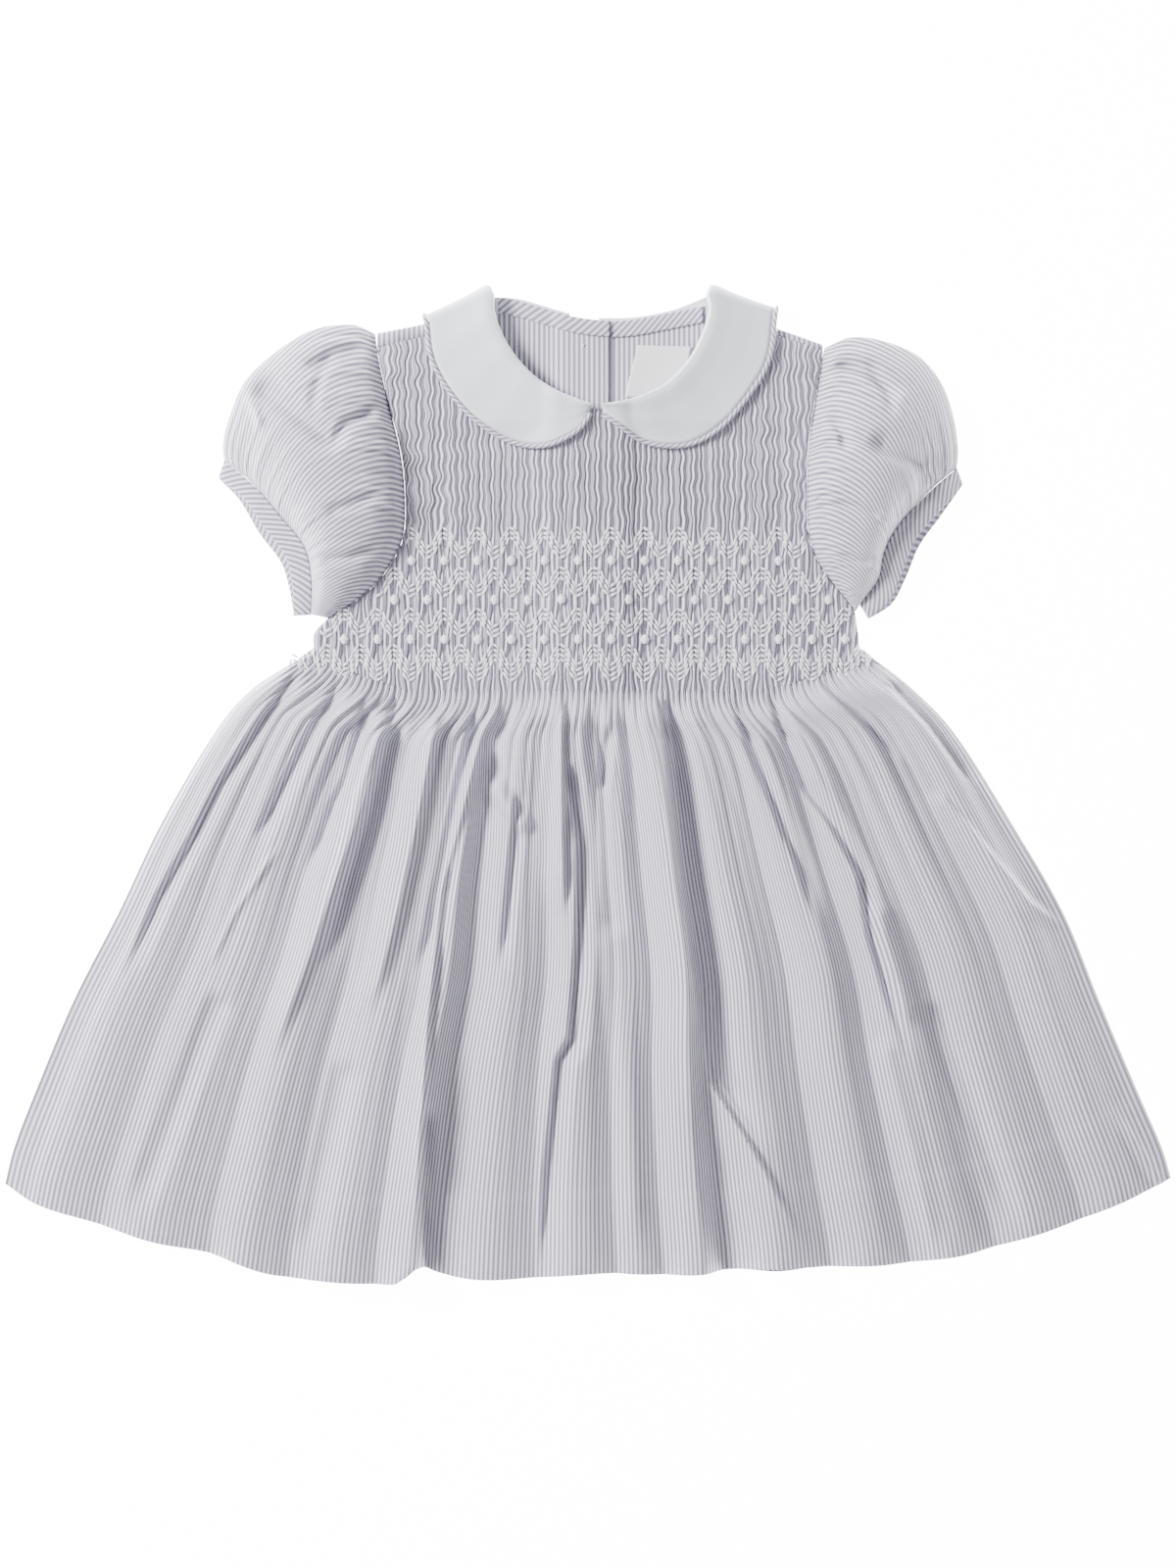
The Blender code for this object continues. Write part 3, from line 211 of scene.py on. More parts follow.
SLEEVE_CREASES = {
    "left": [
        ("height", "left", "right", "soft", "path"),
        (-3.4, 8.0, 10.0, 0.6, [(-148.0, 176.5), (-126.8, 161.0), (-106.0, 145.0)]),
        (-2.2, 3.0, 6.0, 0.5, [(-90.3, 166.2), (-107.1, 156.7), (-112.5, 146.6)]),
        (-2.0, 4.0, 6.0, 0.6, [(-95.0, 192.0), (-110.0, 189.0), (-126.0, 181.0)]),
        (1.4, 3.0, 4.0, 0.2, [(-151.5, 173.8), (-145.3, 163.2), (-142.8, 154.3)]),
        (-1.2, 4.0, 4.0, 0.6, [(-112.0, 192.0), (-118.0, 176.0), (-121.0, 160.0)]),
        (-1.4, 4.0, 5.0, 0.5, [(-88.0, 128.0), (-102.0, 122.0), (-116.0, 118.0)]),
        (-1.3, 3.0, 4.0, 0.4, [(-90.0, 104.0), (-104.0, 99.0), (-119.0, 98.0)]),
    ],
    "right": [
        ("height", "left", "right", "soft", "path"),
        (-2.0, 3.0, 5.0, 0.3, [(104.3, 163.0), (110.9, 153.3), (112.4, 144.4)]),
        (-3.2, 7.0, 9.0, 0.6, [(121.0, 151.0), (138.5, 143.4), (153.0, 135.5)]),
        (-2.4, 5.0, 7.0, 0.6, [(106.0, 186.0), (122.0, 180.0), (138.0, 168.0)]),
        (-1.2, 4.0, 4.0, 0.6, [(122.0, 188.0), (130.0, 172.0), (134.0, 160.0)]),
        (-1.4, 4.0, 5.0, 0.5, [(104.0, 124.0), (118.0, 120.0), (130.0, 116.0)]),
        (-1.3, 3.0, 4.0, 0.4, [(106.0, 102.0), (116.0, 98.0), (126.0, 96.0)]),
    ],
}

# Waves of the stitching: where its middle thread peaks and dips, how far it is shifted in waves, threads
WAVES = [
    ("peak", "dip", "shift", "threads"),
    (111.2, 100.8, 0.0, 3), (93.5, 84.1, 0.5, 3), (75.5, 66.4, 0.0, 3), (58.7, 48.2, 0.5, 4),
]
DOTS = [("y", "shift"), (98.2, 0.0), (81.0, 0.5), (63.6, 0.0)]
THREAD_STEP = 2.15
SLEEVE_LENGTH = 55.0
SLEEVE_SLANT = 0.38        # how far the sleeve is cut off the straight of the cloth
KEY_PLACE = (-1.25, 0.65, 1.0)

# Sleeve from the armhole to the band: crown as a share of PUFF, height of its edges, rise of its gathers
SLEEVE_SHAPE = [
    ("out", "crown", "edge_height", "gather"),
    (0.0, 0.0, 2.6, 0.0), (0.03, 0.20, 3.6, 1.3), (0.07, 0.38, 4.0, 2.1), (0.12, 0.54, 4.4, 1.9),
    (0.24, 0.82, 5.0, 1.0), (0.42, 1.0, 5.2, 0.4), (0.62, 0.98, 5.2, 0.4), (0.80, 0.75, 4.8, 1.1),
    (0.93, 0.42, 4.4, 1.6), (0.97, 0.31, 4.3, 1.1), (1.0, 0.22, 4.2, 0.3),
]
# Collar from the neck seam to its edge: height over the cloth it lies on
COLLAR_SHAPE = [
    ("reach", "rise", "back_reach"),
    (0.0, -1.6, 0.0), (0.004, 1.2, 0.04), (0.04, 2.6, 0.08), (0.12, 2.8, 0.15), (0.35, 1.4, 0.36),
    (0.68, 0.4, 0.68), (1.0, 0.0, 1.0),
]


def smooth(t):
    t = np.clip(t, 0.0, 1.0)
    return t * t * (3.0 - 2.0 * t)


def between(a, b, t):
    return a + (b - a) * t


def read(table, at, key=0, value=1):
    """Column `value` of a table where column `key` is `at`, with straight lines between rows."""
    rows = sorted((row for row in table if not isinstance(row[0], str)), key=lambda row: row[key])
    return np.interp(at, [row[key] for row in rows], [row[value] for row in rows])


def along(points, t):
    """The points a share t of the way along an open line."""
    line = np.array(points, float)
    run = np.concatenate([[0.0], np.cumsum(np.linalg.norm(np.diff(line, axis=0), axis=1))])
    run /= run[-1]
    return np.stack([np.interp(t, run, line[:, axis]) for axis in range(line.shape[1])], axis=-1)


def curved(points, steps=8):
    """The same points with a smooth line through them, as more points."""
    line = np.array(points, float)
    ends = np.vstack([2.0 * line[0] - line[1], line, 2.0 * line[-1] - line[-2]])
    t = np.linspace(0.0, 1.0, steps, endpoint=False)[:, None]
    made = []
    for a, b, c, d in zip(ends, ends[1:], ends[2:], ends[3:]):
        made.append(0.5 * (2.0 * b + (c - a) * t + (2.0 * a - 5.0 * b + 4.0 * c - d) * t ** 2
                           + (3.0 * b - a - 3.0 * c + d) * t ** 3))
    return [tuple(point) for point in np.vstack([*made, line[-1:]])]


def uneven(a, b, seed):
    """Soft unevenness between about -1 and 1, changing over one step of a and of b."""
    spots = np.random.default_rng(seed).uniform(-1.0, 1.0, (512, 256))
    row, column = np.floor(a).astype(int), np.floor(b).astype(int)
    across, down = smooth(a - row), smooth(b - column)
    row, column = row % 511, column % 255
    return between(between(spots[row, column], spots[row + 1, column], across),
                   between(spots[row, column + 1], spots[row + 1, column + 1], across), down)


def crease(x, y, height, left, right, soft, path):
    """Height at (x, y) of one crease, which starts within CREASE_START and fades out towards its far end."""
    line = np.array(path, float)
    steps = np.linalg.norm(np.diff(line, axis=0), axis=1)
    length = steps.sum()
    best = np.full(np.shape(x), np.inf)
    east = np.zeros(np.shape(x))
    place = np.zeros(np.shape(x))
    run = 0.0
    for start, end, step in zip(line, line[1:], steps):
        way = (end - start) / step
        t = np.clip((x - start[0]) * way[0] + (y - start[1]) * way[1], 0.0, step)
        off_x = x - start[0] - way[0] * t
        off_y = y - start[1] - way[1] * t
        far = np.hypot(off_x, off_y)
        near = far < best
        east = np.where(near, way[0] * off_y - way[1] * off_x, east)
        place = np.where(near, (run + t) / length, place)
        best = np.where(near, far, best)
        run += step
    fall = np.clip(1.0 - best / np.where(east > 0.0, right, left), 0.0, 1.0)
    shape = between(fall ** 1.4, smooth(fall), soft)
    return height * shape * smooth(place * length / CREASE_START) * smooth((1.0 - place) / 0.22)


def creases(x, y, table):
    return sum(crease(x, y, *row) for row in table[1:])


def ridges(share, count, seed, sharp):
    """A row of uneven rounded ridges from 0 to 1, with narrow troughs between them."""
    share = np.asarray(share)
    dice = np.random.default_rng(seed)
    shift = sum(dice.uniform(0.1, 0.35) * np.sin(share * turns + dice.uniform(0.0, 6.0))
                for turns in (7.0, 19.0, 47.0))
    phase = share * count + shift
    tall = dice.uniform(0.45, 1.0, count + 4)
    return np.abs(np.cos(math.pi * phase)) ** sharp * tall[np.clip(np.round(phase).astype(int) + 1, 0, count + 3)]


for outline in (ARMHOLE, SIDE, SLEEVE_TOP, BAND_SEAM, BAND_EDGE, COLLAR_NECK, COLLAR_EDGE, COLLAR_BACK_NECK,
                COLLAR_BACK_EDGE, SHOULDER_FOLD):
    for end in ("left", "right"):
        outline[end] = curved(outline[end])
HEM = curved(HEM)
BACK_NECK = curved(BACK_NECK)


def placket(x, start, full, still, over):
    return smooth((x - start) / (full - start)) * (1.0 - smooth((x - still) / (over - still)))


def collar_room(x, y, spread=0.0):
    return smooth((y - 155.0 + spread) / 10.0) * smooth((94.0 + spread - abs(x - 5.0)) / 7.0)


def back_floor(x, y, side):
    """Underside of a back bodice half."""
    under = np.maximum(PLACKET_RISE * placket(x, -40.0, -30.0, 4.0, 13.0), (WALL + GAP) * collar_room(x, y))
    if side == "right":
        return under
    upper = np.maximum((PLACKET_RISE + WALL + GAP) * placket(x, -22.0, LAP_LEFT - 1.0, 4.0, 20.0),
                       (WALL + GAP) * collar_room(x, y))
    return np.where(x > LAP_LEFT - 1.5, np.maximum(upper, under + WALL + GAP), upper)


def front_floor(x, y):
    """Inner face of the front, clear of the back and rising to the rolled neck."""
    lap = 2.95 * placket(x, -28.0, -12.0, 12.0, 26.0) * smooth((y - 20.0) / 35.0)
    neck = np.hypot((x - 5.0) / 62.0, (y - 212.0) / 62.0)
    return WALL + GAP + np.maximum(lap, 1.5 * collar_room(x, y, 4.0)) + 2.2 * smooth((1.30 - neck) / 0.7)


def fold_rise(share, down):
    """Height of the skirt's folds: share across, and 0 at the waist to 1 at the hem."""
    total = np.zeros(np.shape(share))
    for at, waist_rise, middle_rise, hem_rise, left_flank, right_flank in FOLDS[1:]:
        rise = np.interp(down, [0.0, 0.5, 1.0], [waist_rise, middle_rise, hem_rise])
        flank = np.where(share < at, left_flank, right_flank)
        total = np.maximum(total, rise * smooth(1.0 - np.abs(share - at) / (flank * 1.25)))
    return total * smooth(np.minimum(share, 1.0 - share) / 0.03) * smooth(down / 0.06)


def plain_cotton(name, colour, rough=0.9):
    made = bpy.data.materials.new(name)
    made.use_nodes = True
    nodes = made.node_tree.nodes
    links = made.node_tree.links
    shader = nodes["Principled BSDF"]
    shader.inputs["Base Color"].default_value = (*colour, 1.0)
    shader.inputs["Roughness"].default_value = rough
    place = nodes.new("ShaderNodeTexCoord")
    weave = nodes.new("ShaderNodeTexNoise")
    weave.inputs["Scale"].default_value = 1600.0
    weave.inputs["Detail"].default_value = 2.0
    bump = nodes.new("ShaderNodeBump")
    bump.inputs["Strength"].default_value = 0.25
    bump.inputs["Distance"].default_value = 0.0002
    links.new(place.outputs["Object"], weave.inputs["Vector"])
    links.new(weave.outputs["Fac"], bump.inputs["Height"])
    links.new(bump.outputs["Normal"], shader.inputs["Normal"])
    return made


def number(nodes, links, sort, a, b=None):
    """One step of arithmetic in a material."""
    node = nodes.new("ShaderNodeMath")
    node.operation = sort
    for socket, given in zip(node.inputs, (a, b)):
        if given is None:
            continue
        if isinstance(given, float):
            socket.default_value = given
        else:
            links.new(given, socket)
    return node.outputs[0]


def striped_cotton(name, light, dark):
    """Ticking woven in two threads, the stripes running along the cloth whatever way it is folded."""
    made = bpy.data.materials.new(name)
    made.use_nodes = True
    nodes = made.node_tree.nodes
    links = made.node_tree.links
    shader = nodes["Principled BSDF"]
    shader.inputs["Roughness"].default_value = 0.9
    shader.inputs["Sheen Weight"].default_value = 0.15
    flat = nodes.new("ShaderNodeUVMap")
    flat.uv_map = "cloth"
    parts = nodes.new("ShaderNodeSeparateXYZ")
    links.new(flat.outputs["UV"], parts.inputs[0])
    across = number(nodes, links, "MULTIPLY", parts.outputs["X"], 1.0 / (STRIPE * MM))
    wave = number(nodes, links, "SINE", number(nodes, links, "MULTIPLY", across, 2.0 * math.pi))
    edge = number(nodes, links, "MULTIPLY_ADD", wave, 1.6)
    edge.node.inputs[2].default_value = 0.5
    edge.node.use_clamp = True
    slub = nodes.new("ShaderNodeTexNoise")
    slub.inputs["Scale"].default_value = 1400.0
    slub.inputs["Detail"].default_value = 3.0
    links.new(flat.outputs["UV"], slub.inputs["Vector"])
    mix = nodes.new("ShaderNodeMix")
    mix.data_type = "RGBA"
    mix.inputs["A"].default_value = (*light, 1.0)
    mix.inputs["B"].default_value = (*dark, 1.0)
    links.new(edge, mix.inputs["Factor"])
    tint = nodes.new("ShaderNodeMix")
    tint.data_type = "RGBA"
    tint.blend_type = "MULTIPLY"
    tint.inputs["Factor"].default_value = 0.18
    links.new(mix.outputs["Result"], tint.inputs["A"])
    links.new(slub.outputs["Fac"], tint.inputs["B"])
    links.new(tint.outputs["Result"], shader.inputs["Base Color"])
    bump = nodes.new("ShaderNodeBump")
    bump.inputs["Strength"].default_value = 0.35
    bump.inputs["Distance"].default_value = 0.00012
    links.new(slub.outputs["Fac"], bump.inputs["Height"])
    links.new(bump.outputs["Normal"], shader.inputs["Normal"])
    return made


class Cloth:
    """A piece of cloth put together from grids of points, each with its place on the flat cloth."""

    def __init__(self):
        self.points = []
        self.flats = []
        self.faces = []
        self.count = 0

    def grid(self, points, flat, keep=None):
        rows, columns = points.shape[:2]
        index = np.arange(rows * columns).reshape(rows, columns) + self.count
        faces = np.stack([index[:-1, :-1], index[1:, :-1], index[1:, 1:], index[:-1, 1:]], axis=-1)
        self.points.append(points.reshape(-1, 3))
        self.flats.append(flat.reshape(-1, 2))
        self.faces.append(faces[keep] if keep is not None else faces.reshape(-1, 4))
        self.count += rows * columns

    def rim(self, one, other, flat):
        """The narrow edge between two lines of points."""
        self.grid(np.stack([one, other]), np.stack([flat, flat]))

    def build(self, name, material, toward, weld=True):
        """toward gives the way an open sheet faces; it is None for a closed shell, which keeps its rim sharp."""
        points = np.concatenate(self.points) * MM
        flats = np.concatenate(self.flats) * MM
        faces = np.concatenate(self.faces)
        used, faces = np.unique(faces, return_inverse=True)
        faces = faces.reshape(-1, 4)
        points = points[used]
        flats = flats[used]
        mesh = bpy.data.meshes.new(name)
        mesh.from_pydata(points.tolist(), [], faces.tolist())
        mesh.shade_smooth()
        layer = mesh.uv_layers.new(name="cloth")
        layer.data.foreach_set("uv", flats[faces.ravel()].ravel())
        work = bmesh.new()
        work.from_mesh(mesh)
        if toward is None:
            for edge in work.edges:
                edge.smooth = not edge.is_boundary
        if weld:
            bmesh.ops.remove_doubles(work, verts=work.verts[:], dist=0.000002)
        if toward is None:
            bmesh.ops.recalc_face_normals(work, faces=work.faces[:])
        elif sum((face.normal * face.calc_area()).dot(toward(face.calc_center_median())) for face in work.faces) < 0.0:
            bmesh.ops.reverse_faces(work, faces=work.faces[:])
        work.to_mesh(mesh)
        work.free()
        mesh.materials.append(material)
        made = bpy.data.objects.new(name, mesh)
        bpy.context.scene.collection.objects.link(made)
        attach(made, "root")
        return made


def upward(place):
    return (0.0, 0.0, 1.0)


def downward(place):
    return (0.0, 0.0, -1.0)


def thicken(piece, millimetres):
    """Gives a sheet its thickness, inwards from the modelled face."""
    thick = piece.modifiers.new("thickness", "SOLIDIFY")
    thick.thickness = millimetres * MM
    thick.offset = -1.0


# The front: pleated and smocked bodice

def edge_x(side, y):
    curve = ARMHOLE[side] + SIDE[side][1:]
    return read(curve, y, 1, 0)


def bodice_end(x):
    """Where the bodice's modelled cloth hands over to the skirt's, just under the last stitches."""
    return 41.0 + 12.5 * smooth((np.abs(x) - 70.0) / 58.0)


def drawn(x, y):
    """How far stitches draw a pleat at (x, y) sideways."""
    turn = 2.0 * math.pi * (x - WAVE_PEAK) / WAVE
    held = smooth((128.0 - y) / 16.0) * smooth((y - 40.0) / 8.0)
    lattice = -1.15 * np.sin(turn) * np.cos(math.pi * (y - DOTS[1][0]) / 17.3) * held
    middle = 0.5 * (edge_x("left", y) + edge_x("right", y))
    half = 0.5 * (edge_x("right", y) - edge_x("left", y))
    near_edge = between(1.0, 0.45, smooth((half - np.abs(x - middle)) / 45.0))
    crimp = 0.55 * np.sin(2.0 * math.pi * y / CRIMP_PITCH + 0.9 * np.sin(x / 17.0)) * smooth((y - 108.0) / 10.0)
    stray = uneven(x / (1.6 * PLEAT_PITCH) + 90.0, y / 6.5 + 40.0, 31)
    stray = stray * between(0.35, 1.25, smooth((y - 108.0) / 14.0)) * near_edge
    return lattice + crimp * near_edge + stray


def wave_y(x, peak, dip, shift):
    turn = (x - WAVE_PEAK) / WAVE + shift
    zigzag = np.abs(2.0 * (turn - np.floor(turn)) - 1.0)
    return between(dip, peak, between(zigzag, smooth(zigzag), 0.5))


def rows_of_dots():
    for y, shift in DOTS[1:]:
        left = edge_x("left", y) + 4.0
        right = edge_x("right", y) - 4.0
        first = WAVE_PEAK + shift * WAVE
        for n in range(math.ceil((left - first) / WAVE), math.floor((right - first) / WAVE) + 1):
            yield first + n * WAVE, y


def bodice_height(phase, x, y):
    """Height of the pleated cloth over its inner face."""
    dice = np.random.default_rng(7)
    tall = dice.uniform(0.80, 1.12, 400)[np.round(phase).astype(int) + 200]
    tall = tall * (1.0 + 0.14 * uneven(phase + 90.0, y / 9.0 + 40.0, 32))
    profile = np.abs(np.cos(math.pi * phase)) ** 0.6
    rise = PLEAT_RISE * tall * between(0.75, 1.0, smooth((NECK_END - y) / 10.0))
    rise = rise * between(1.0, PLEAT_FULL, smooth((148.0 - y) / 8.0))
    for peak, dip, shift, threads in WAVES[1:]:
        off = np.abs(y - wave_y(x, peak, dip, shift))
        rise = rise * between(1.0, 0.5, smooth(1.0 - off / (0.6 * THREAD_STEP * threads)))
    height = rise * profile - PLEAT_TROUGH * (1.0 - profile) ** 2
    for dot_x, dot_y in rows_of_dots():
        near = np.abs(y - dot_y) < 9.0
        for way in (-1.0, 1.0):
            hole = np.exp(-((x - dot_x) / 1.25) ** 2 - ((y - dot_y - way * 4.6) / 2.3) ** 2)
            height = np.where(near, height - 1.7 * hole * (0.35 + profile), height)
    return WALL + np.maximum(height, -0.5)


NECK_END = 190.0


def bodice():
    cloth = Cloth()
    left_end, right_end = -130.0, 128.0
    count = round((right_end - left_end) / PLEAT_PITCH) * BODICE_STEPS
    line = np.linspace(left_end, right_end, count + 1)
    down = np.linspace(0.0, 1.0, BODICE_ROWS)[:, None]
    base_y = between(192.0, 41.0, down)
    lift = np.clip((base_y - 130.0) / 62.0, 0.0, 1.0) * (read(NECKLINE, line) - 192.0)
    drop = np.clip((74.0 - base_y) / 33.0, 0.0, 1.0) ** 2 * (bodice_end(line) - 41.0)
    y = base_y + lift + drop
    x = np.broadcast_to(line, y.shape)
    left = edge_x("left", y)
    right = edge_x("right", y)
    inside = (x > left) & (x < right)
    phase = x / PLEAT_PITCH
    moved = np.clip(x + drawn(x, y), left, right)
    moved = np.where(inside, moved, np.clip(x, left, right))
    z = front_floor(moved, y) + bodice_height(phase, moved, y)
    border = smooth(np.minimum(moved - left, right - moved) / 1.0)
    z = front_floor(moved, y) + WALL + (z - front_floor(moved, y) - WALL) * border
    local = phase - np.round(phase)
    gained = 0.55 * local + 0.225 * np.sign(local) * np.abs(2.0 * local) ** 5
    u = (np.round(phase) + gained) * CLOTH_WIDTH / PLEATS
    live = inside[:-1, :-1] | inside[1:, 1:] | inside[1:, :-1] | inside[:-1, 1:]
    cloth.grid(np.stack([moved, y, z], axis=-1), np.stack([u, -y], axis=-1), keep=live)
    plain_x = np.linspace(0.0, 1.0, 25)
    plain_y = np.linspace(192.0, 53.5, 22)[:, None]
    across = between(edge_x("left", plain_y), edge_x("right", plain_y), plain_x)
    lift = np.clip((plain_y - 130.0) / 62.0, 0.0, 1.0) * (read(NECKLINE, across) - 192.0)
    inner = np.stack([across, plain_y + lift, front_floor(across, plain_y + lift)], axis=-1)
    cloth.grid(inner[:, ::-1], np.stack([across, -plain_y + 0.0 * across], axis=-1)[:, ::-1])
    top = np.stack([moved[0], y[0], z[0]], axis=-1)
    top_low = np.stack([moved[0], y[0], front_floor(moved[0], y[0])], axis=-1)
    cloth.rim(top, top_low, np.stack([u[0], -y[0]], axis=-1))
    side_y = np.linspace(191.0, 53.5, 90)
    for side in ("left", "right"):
        side_x = edge_x(side, side_y)
        low = front_floor(side_x, side_y)
        edge = [np.stack([side_x, side_y, low + extra], axis=-1) for extra in (WALL, 0.0)]
        cloth.rim(*edge, np.stack([side_x, -side_y], axis=-1))
    return cloth


def skirt_place(share, down):
    """Plan of the skirt's cloth: share across it, and down from the stitches to the hem."""
    top_x = between(-130.0, 128.0, share)
    ends = [read(SIDE[side], between(53.5, SIDE[side][-1][1], down), 1, 0) for side in ("left", "right")]
    opened = between(smooth(down / 0.09), 1.0, np.abs(2.0 * share - 1.0) ** 6)
    x = between(top_x, between(*ends, share), opened)
    hem_y = read(HEM, between(HEM[0][0], HEM[-1][0], share))
    return x, between(bodice_end(top_x), hem_y, down), hem_y


def skirt_height(share, down, x, y, hem_y):
    top_x = between(-130.0, 128.0, share)
    gone = 1.0 - smooth(down / 0.09)
    pleats = bodice_height(top_x / PLEAT_PITCH, top_x, 40.0 + 0.0 * top_x) - WALL
    rise = pleats * gone + GATHER_RISE * smooth(down / 0.05) * (1.0 - smooth((down - 0.10) / 0.45))
    rise = rise + 2.3 * ridges(share, 52, 3, 0.7) * smooth(down / 0.04) * (1.0 - smooth((down - 0.06) / 0.20))
    rise = rise + 3.2 * ridges(share, 24, 5, 0.55) * smooth(down / 0.06) * (1.0 - smooth((down - 0.10) / 0.5))
    rise = rise + 0.5 * ridges(share, 70, 9, 1.2) * smooth(down / 0.2) * (1.0 - 0.6 * smooth(down))
    rise = rise + 1.75 * creases(x, y, SKIRT_CREASES) * smooth(down / 0.035)
    rise = rise + 0.5 * uneven(share * 26.0, down * 4.0, 33) * smooth(down / 0.2)
    rise = rise + 0.35 * smooth((HEM_DEPTH - (y - hem_y)) / 1.5)
    edge = smooth(np.minimum(share, 1.0 - share) * 500.0 / 5.0)
    body = fold_rise(share, down) + rise * between(0.25, 1.0, edge) - 0.8 * (1.0 - edge)
    body = body - 0.7 * smooth(1.0 - (y - hem_y) / 1.6)
    return WALL + np.maximum(body, -0.4)


def skirt():
    cloth = Cloth()
    share = np.linspace(0.0, 1.0, PLEATS * SKIRT_STEPS + 1)[None, :]
    down = np.linspace(0.0, 1.0, SKIRT_ROWS)[:, None] ** 1.15
    share, down = np.broadcast_arrays(share, down)
    x, y, hem_y = skirt_place(share, down)
    height = skirt_height(share, down, x, y, hem_y)
    z = front_floor(x, y) + height
    step = np.diff(x, axis=1)
    taken = 0.05 * step + np.abs(np.diff(fold_rise(share, down), axis=1))
    spare = CLOTH_WIDTH - step.sum(axis=1, keepdims=True)
    step = step + taken * spare / taken.sum(axis=1, keepdims=True)
    u = np.concatenate([np.zeros((len(x), 1)), np.cumsum(step, axis=1)], axis=1)
    u = u / u[:, -1:] * CLOTH_WIDTH
    u = between(share * CLOTH_WIDTH, u, smooth(down / 0.30))
    cloth.grid(np.stack([x, y, z], axis=-1), np.stack([u, -y], axis=-1))
    low = np.pad(z, ((INNER_ROWS, INNER_ROWS), (INNER_COLUMNS, INNER_COLUMNS)), mode="edge")
    window = (2 * INNER_ROWS + 1, 2 * INNER_COLUMNS + 1)
    low = np.lib.stride_tricks.sliding_window_view(low, window).min(axis=(2, 3)) - WALL
    low = np.maximum(low, front_floor(x, y) - 0.2)
    rows = np.append(np.arange(0, SKIRT_ROWS - 1, INNER_ROWS), SKIRT_ROWS - 1)
    columns = np.arange(0, x.shape[1], INNER_COLUMNS)
    inner = np.stack([x, y, low], axis=-1)[rows][:, columns]
    flat = np.stack([u, -y], axis=-1)
    cloth.grid(inner[:, ::-1], flat[rows][:, columns][:, ::-1])
    outer, under = (np.stack([x, y, high], axis=-1) for high in (z, low))
    near_column = columns[np.abs(columns[:, None] - np.arange(x.shape[1])).argmin(axis=0)]
    near_row = rows[np.abs(rows[:, None] - np.arange(SKIRT_ROWS)).argmin(axis=0)]
    for row in (0, -1):
        cloth.rim(outer[row], under[row][near_column], flat[row])
    for column in (0, -1):
        cloth.rim(outer[:, column], under[:, column][near_row], flat[:, column])
    return cloth


# Thread

def stitches(name, starts, ends, radii, bulge, material):
    """Short plump stitches, one from each start to its end."""
    starts, ends = (np.array(given, float) for given in (starts, ends))
    radii = np.array(radii, float)[:, None, None, None]
    way = ends - starts
    side = np.stack([-way[:, 1], way[:, 0], 0.0 * way[:, 0]], axis=-1)
    side /= np.linalg.norm(side, axis=1, keepdims=True)
    stations = np.array([0.0, 0.14, 0.5, 0.86, 1.0])
    girth = np.array([0.3, 0.8, 1.0, 0.8, 0.3])
    angles = np.arange(6) * math.pi / 3.0
    lift = bulge * np.sin(math.pi * stations)
    middle = starts[:, None, :] + way[:, None, :] * stations[:, None]
    middle = middle + np.array([0.0, 0.0, 1.0]) * lift[:, None]
    up = np.array([0.0, 0.0, 1.0])
    spokes = side[:, None, :] * np.cos(angles)[:, None] + up * np.sin(angles)[:, None]
    rings = middle[:, :, None, :] + radii * girth[:, None, None] * spokes[:, None, :, :]
    count = len(starts)
    index = np.arange(count * 30).reshape(count, 5, 6)
    turned = np.roll(index, -1, axis=2)
    faces = np.stack([index[:, :-1], turned[:, :-1], turned[:, 1:], index[:, 1:]], axis=-1).reshape(-1, 4)
    caps = np.concatenate([index[:, 0, ::-1], index[:, -1]])
    mesh = bpy.data.meshes.new(name)
    mesh.from_pydata((rings.reshape(-1, 3) * MM).tolist(), [], faces.tolist() + caps.tolist())
    mesh.shade_smooth()
    mesh.materials.append(material)
    made = bpy.data.objects.new(name, mesh)
    bpy.context.scene.collection.objects.link(made)
    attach(made, "root")
    return made


def ridge_top(x, y):
    return front_floor(x, y) + WALL + PLEAT_RISE * PLEAT_FULL * 0.72


def wave_stitches(material):
    dice = np.random.default_rng(11)
    starts, ends, radii = [], [], []
    for peak, dip, shift, threads in WAVES[1:]:
        for thread in range(threads):
            offset = (thread - (threads - 1) / 2.0) * THREAD_STEP
            middle = 0.5 * (peak + dip) + offset
            left = edge_x("left", middle) + 1.2
            right = edge_x("right", middle) - 1.2
            for n in range(math.ceil(left / PLEAT_PITCH), math.floor(right / PLEAT_PITCH)):
                ends_of = []
                for x, inset in ((n * PLEAT_PITCH, 0.25), ((n + 1) * PLEAT_PITCH, -0.25)):
                    y = wave_y(x, peak, dip, shift) + offset
                    ends_of.append([x + drawn(x, y) + inset + dice.normal(0.0, 0.08),
                                    y + dice.normal(0.0, 0.14), ridge_top(x, y) + 0.05])
                starts.append(ends_of[0])
                ends.append(ends_of[1])
                radii.append(dice.uniform(0.50, 0.60))
    return stitches("wave_stitches", starts, ends, radii, 0.45, material)


def satin_dots(material):
    dice = np.random.default_rng(12)
    starts, ends, radii = [], [], []
    for dot_x, dot_y in rows_of_dots():
        x = dot_x + drawn(dot_x, dot_y)
        for wrap in range(5):
            y = dot_y + (wrap - 2) * 0.72
            half = (1.25, 1.75, 1.95, 1.75, 1.25)[wrap] + dice.uniform(-0.12, 0.12)
            height = ridge_top(x, y) + (0.25, 0.55, 0.7, 0.55, 0.25)[wrap]
            starts.append([x - half, y + dice.normal(0.0, 0.08), height])
            ends.append([x + half, y + dice.normal(0.0, 0.08), height])
            radii.append(0.62)
    return stitches("satin_dots", starts, ends, radii, 0.5, material)


# Sleeves and bands

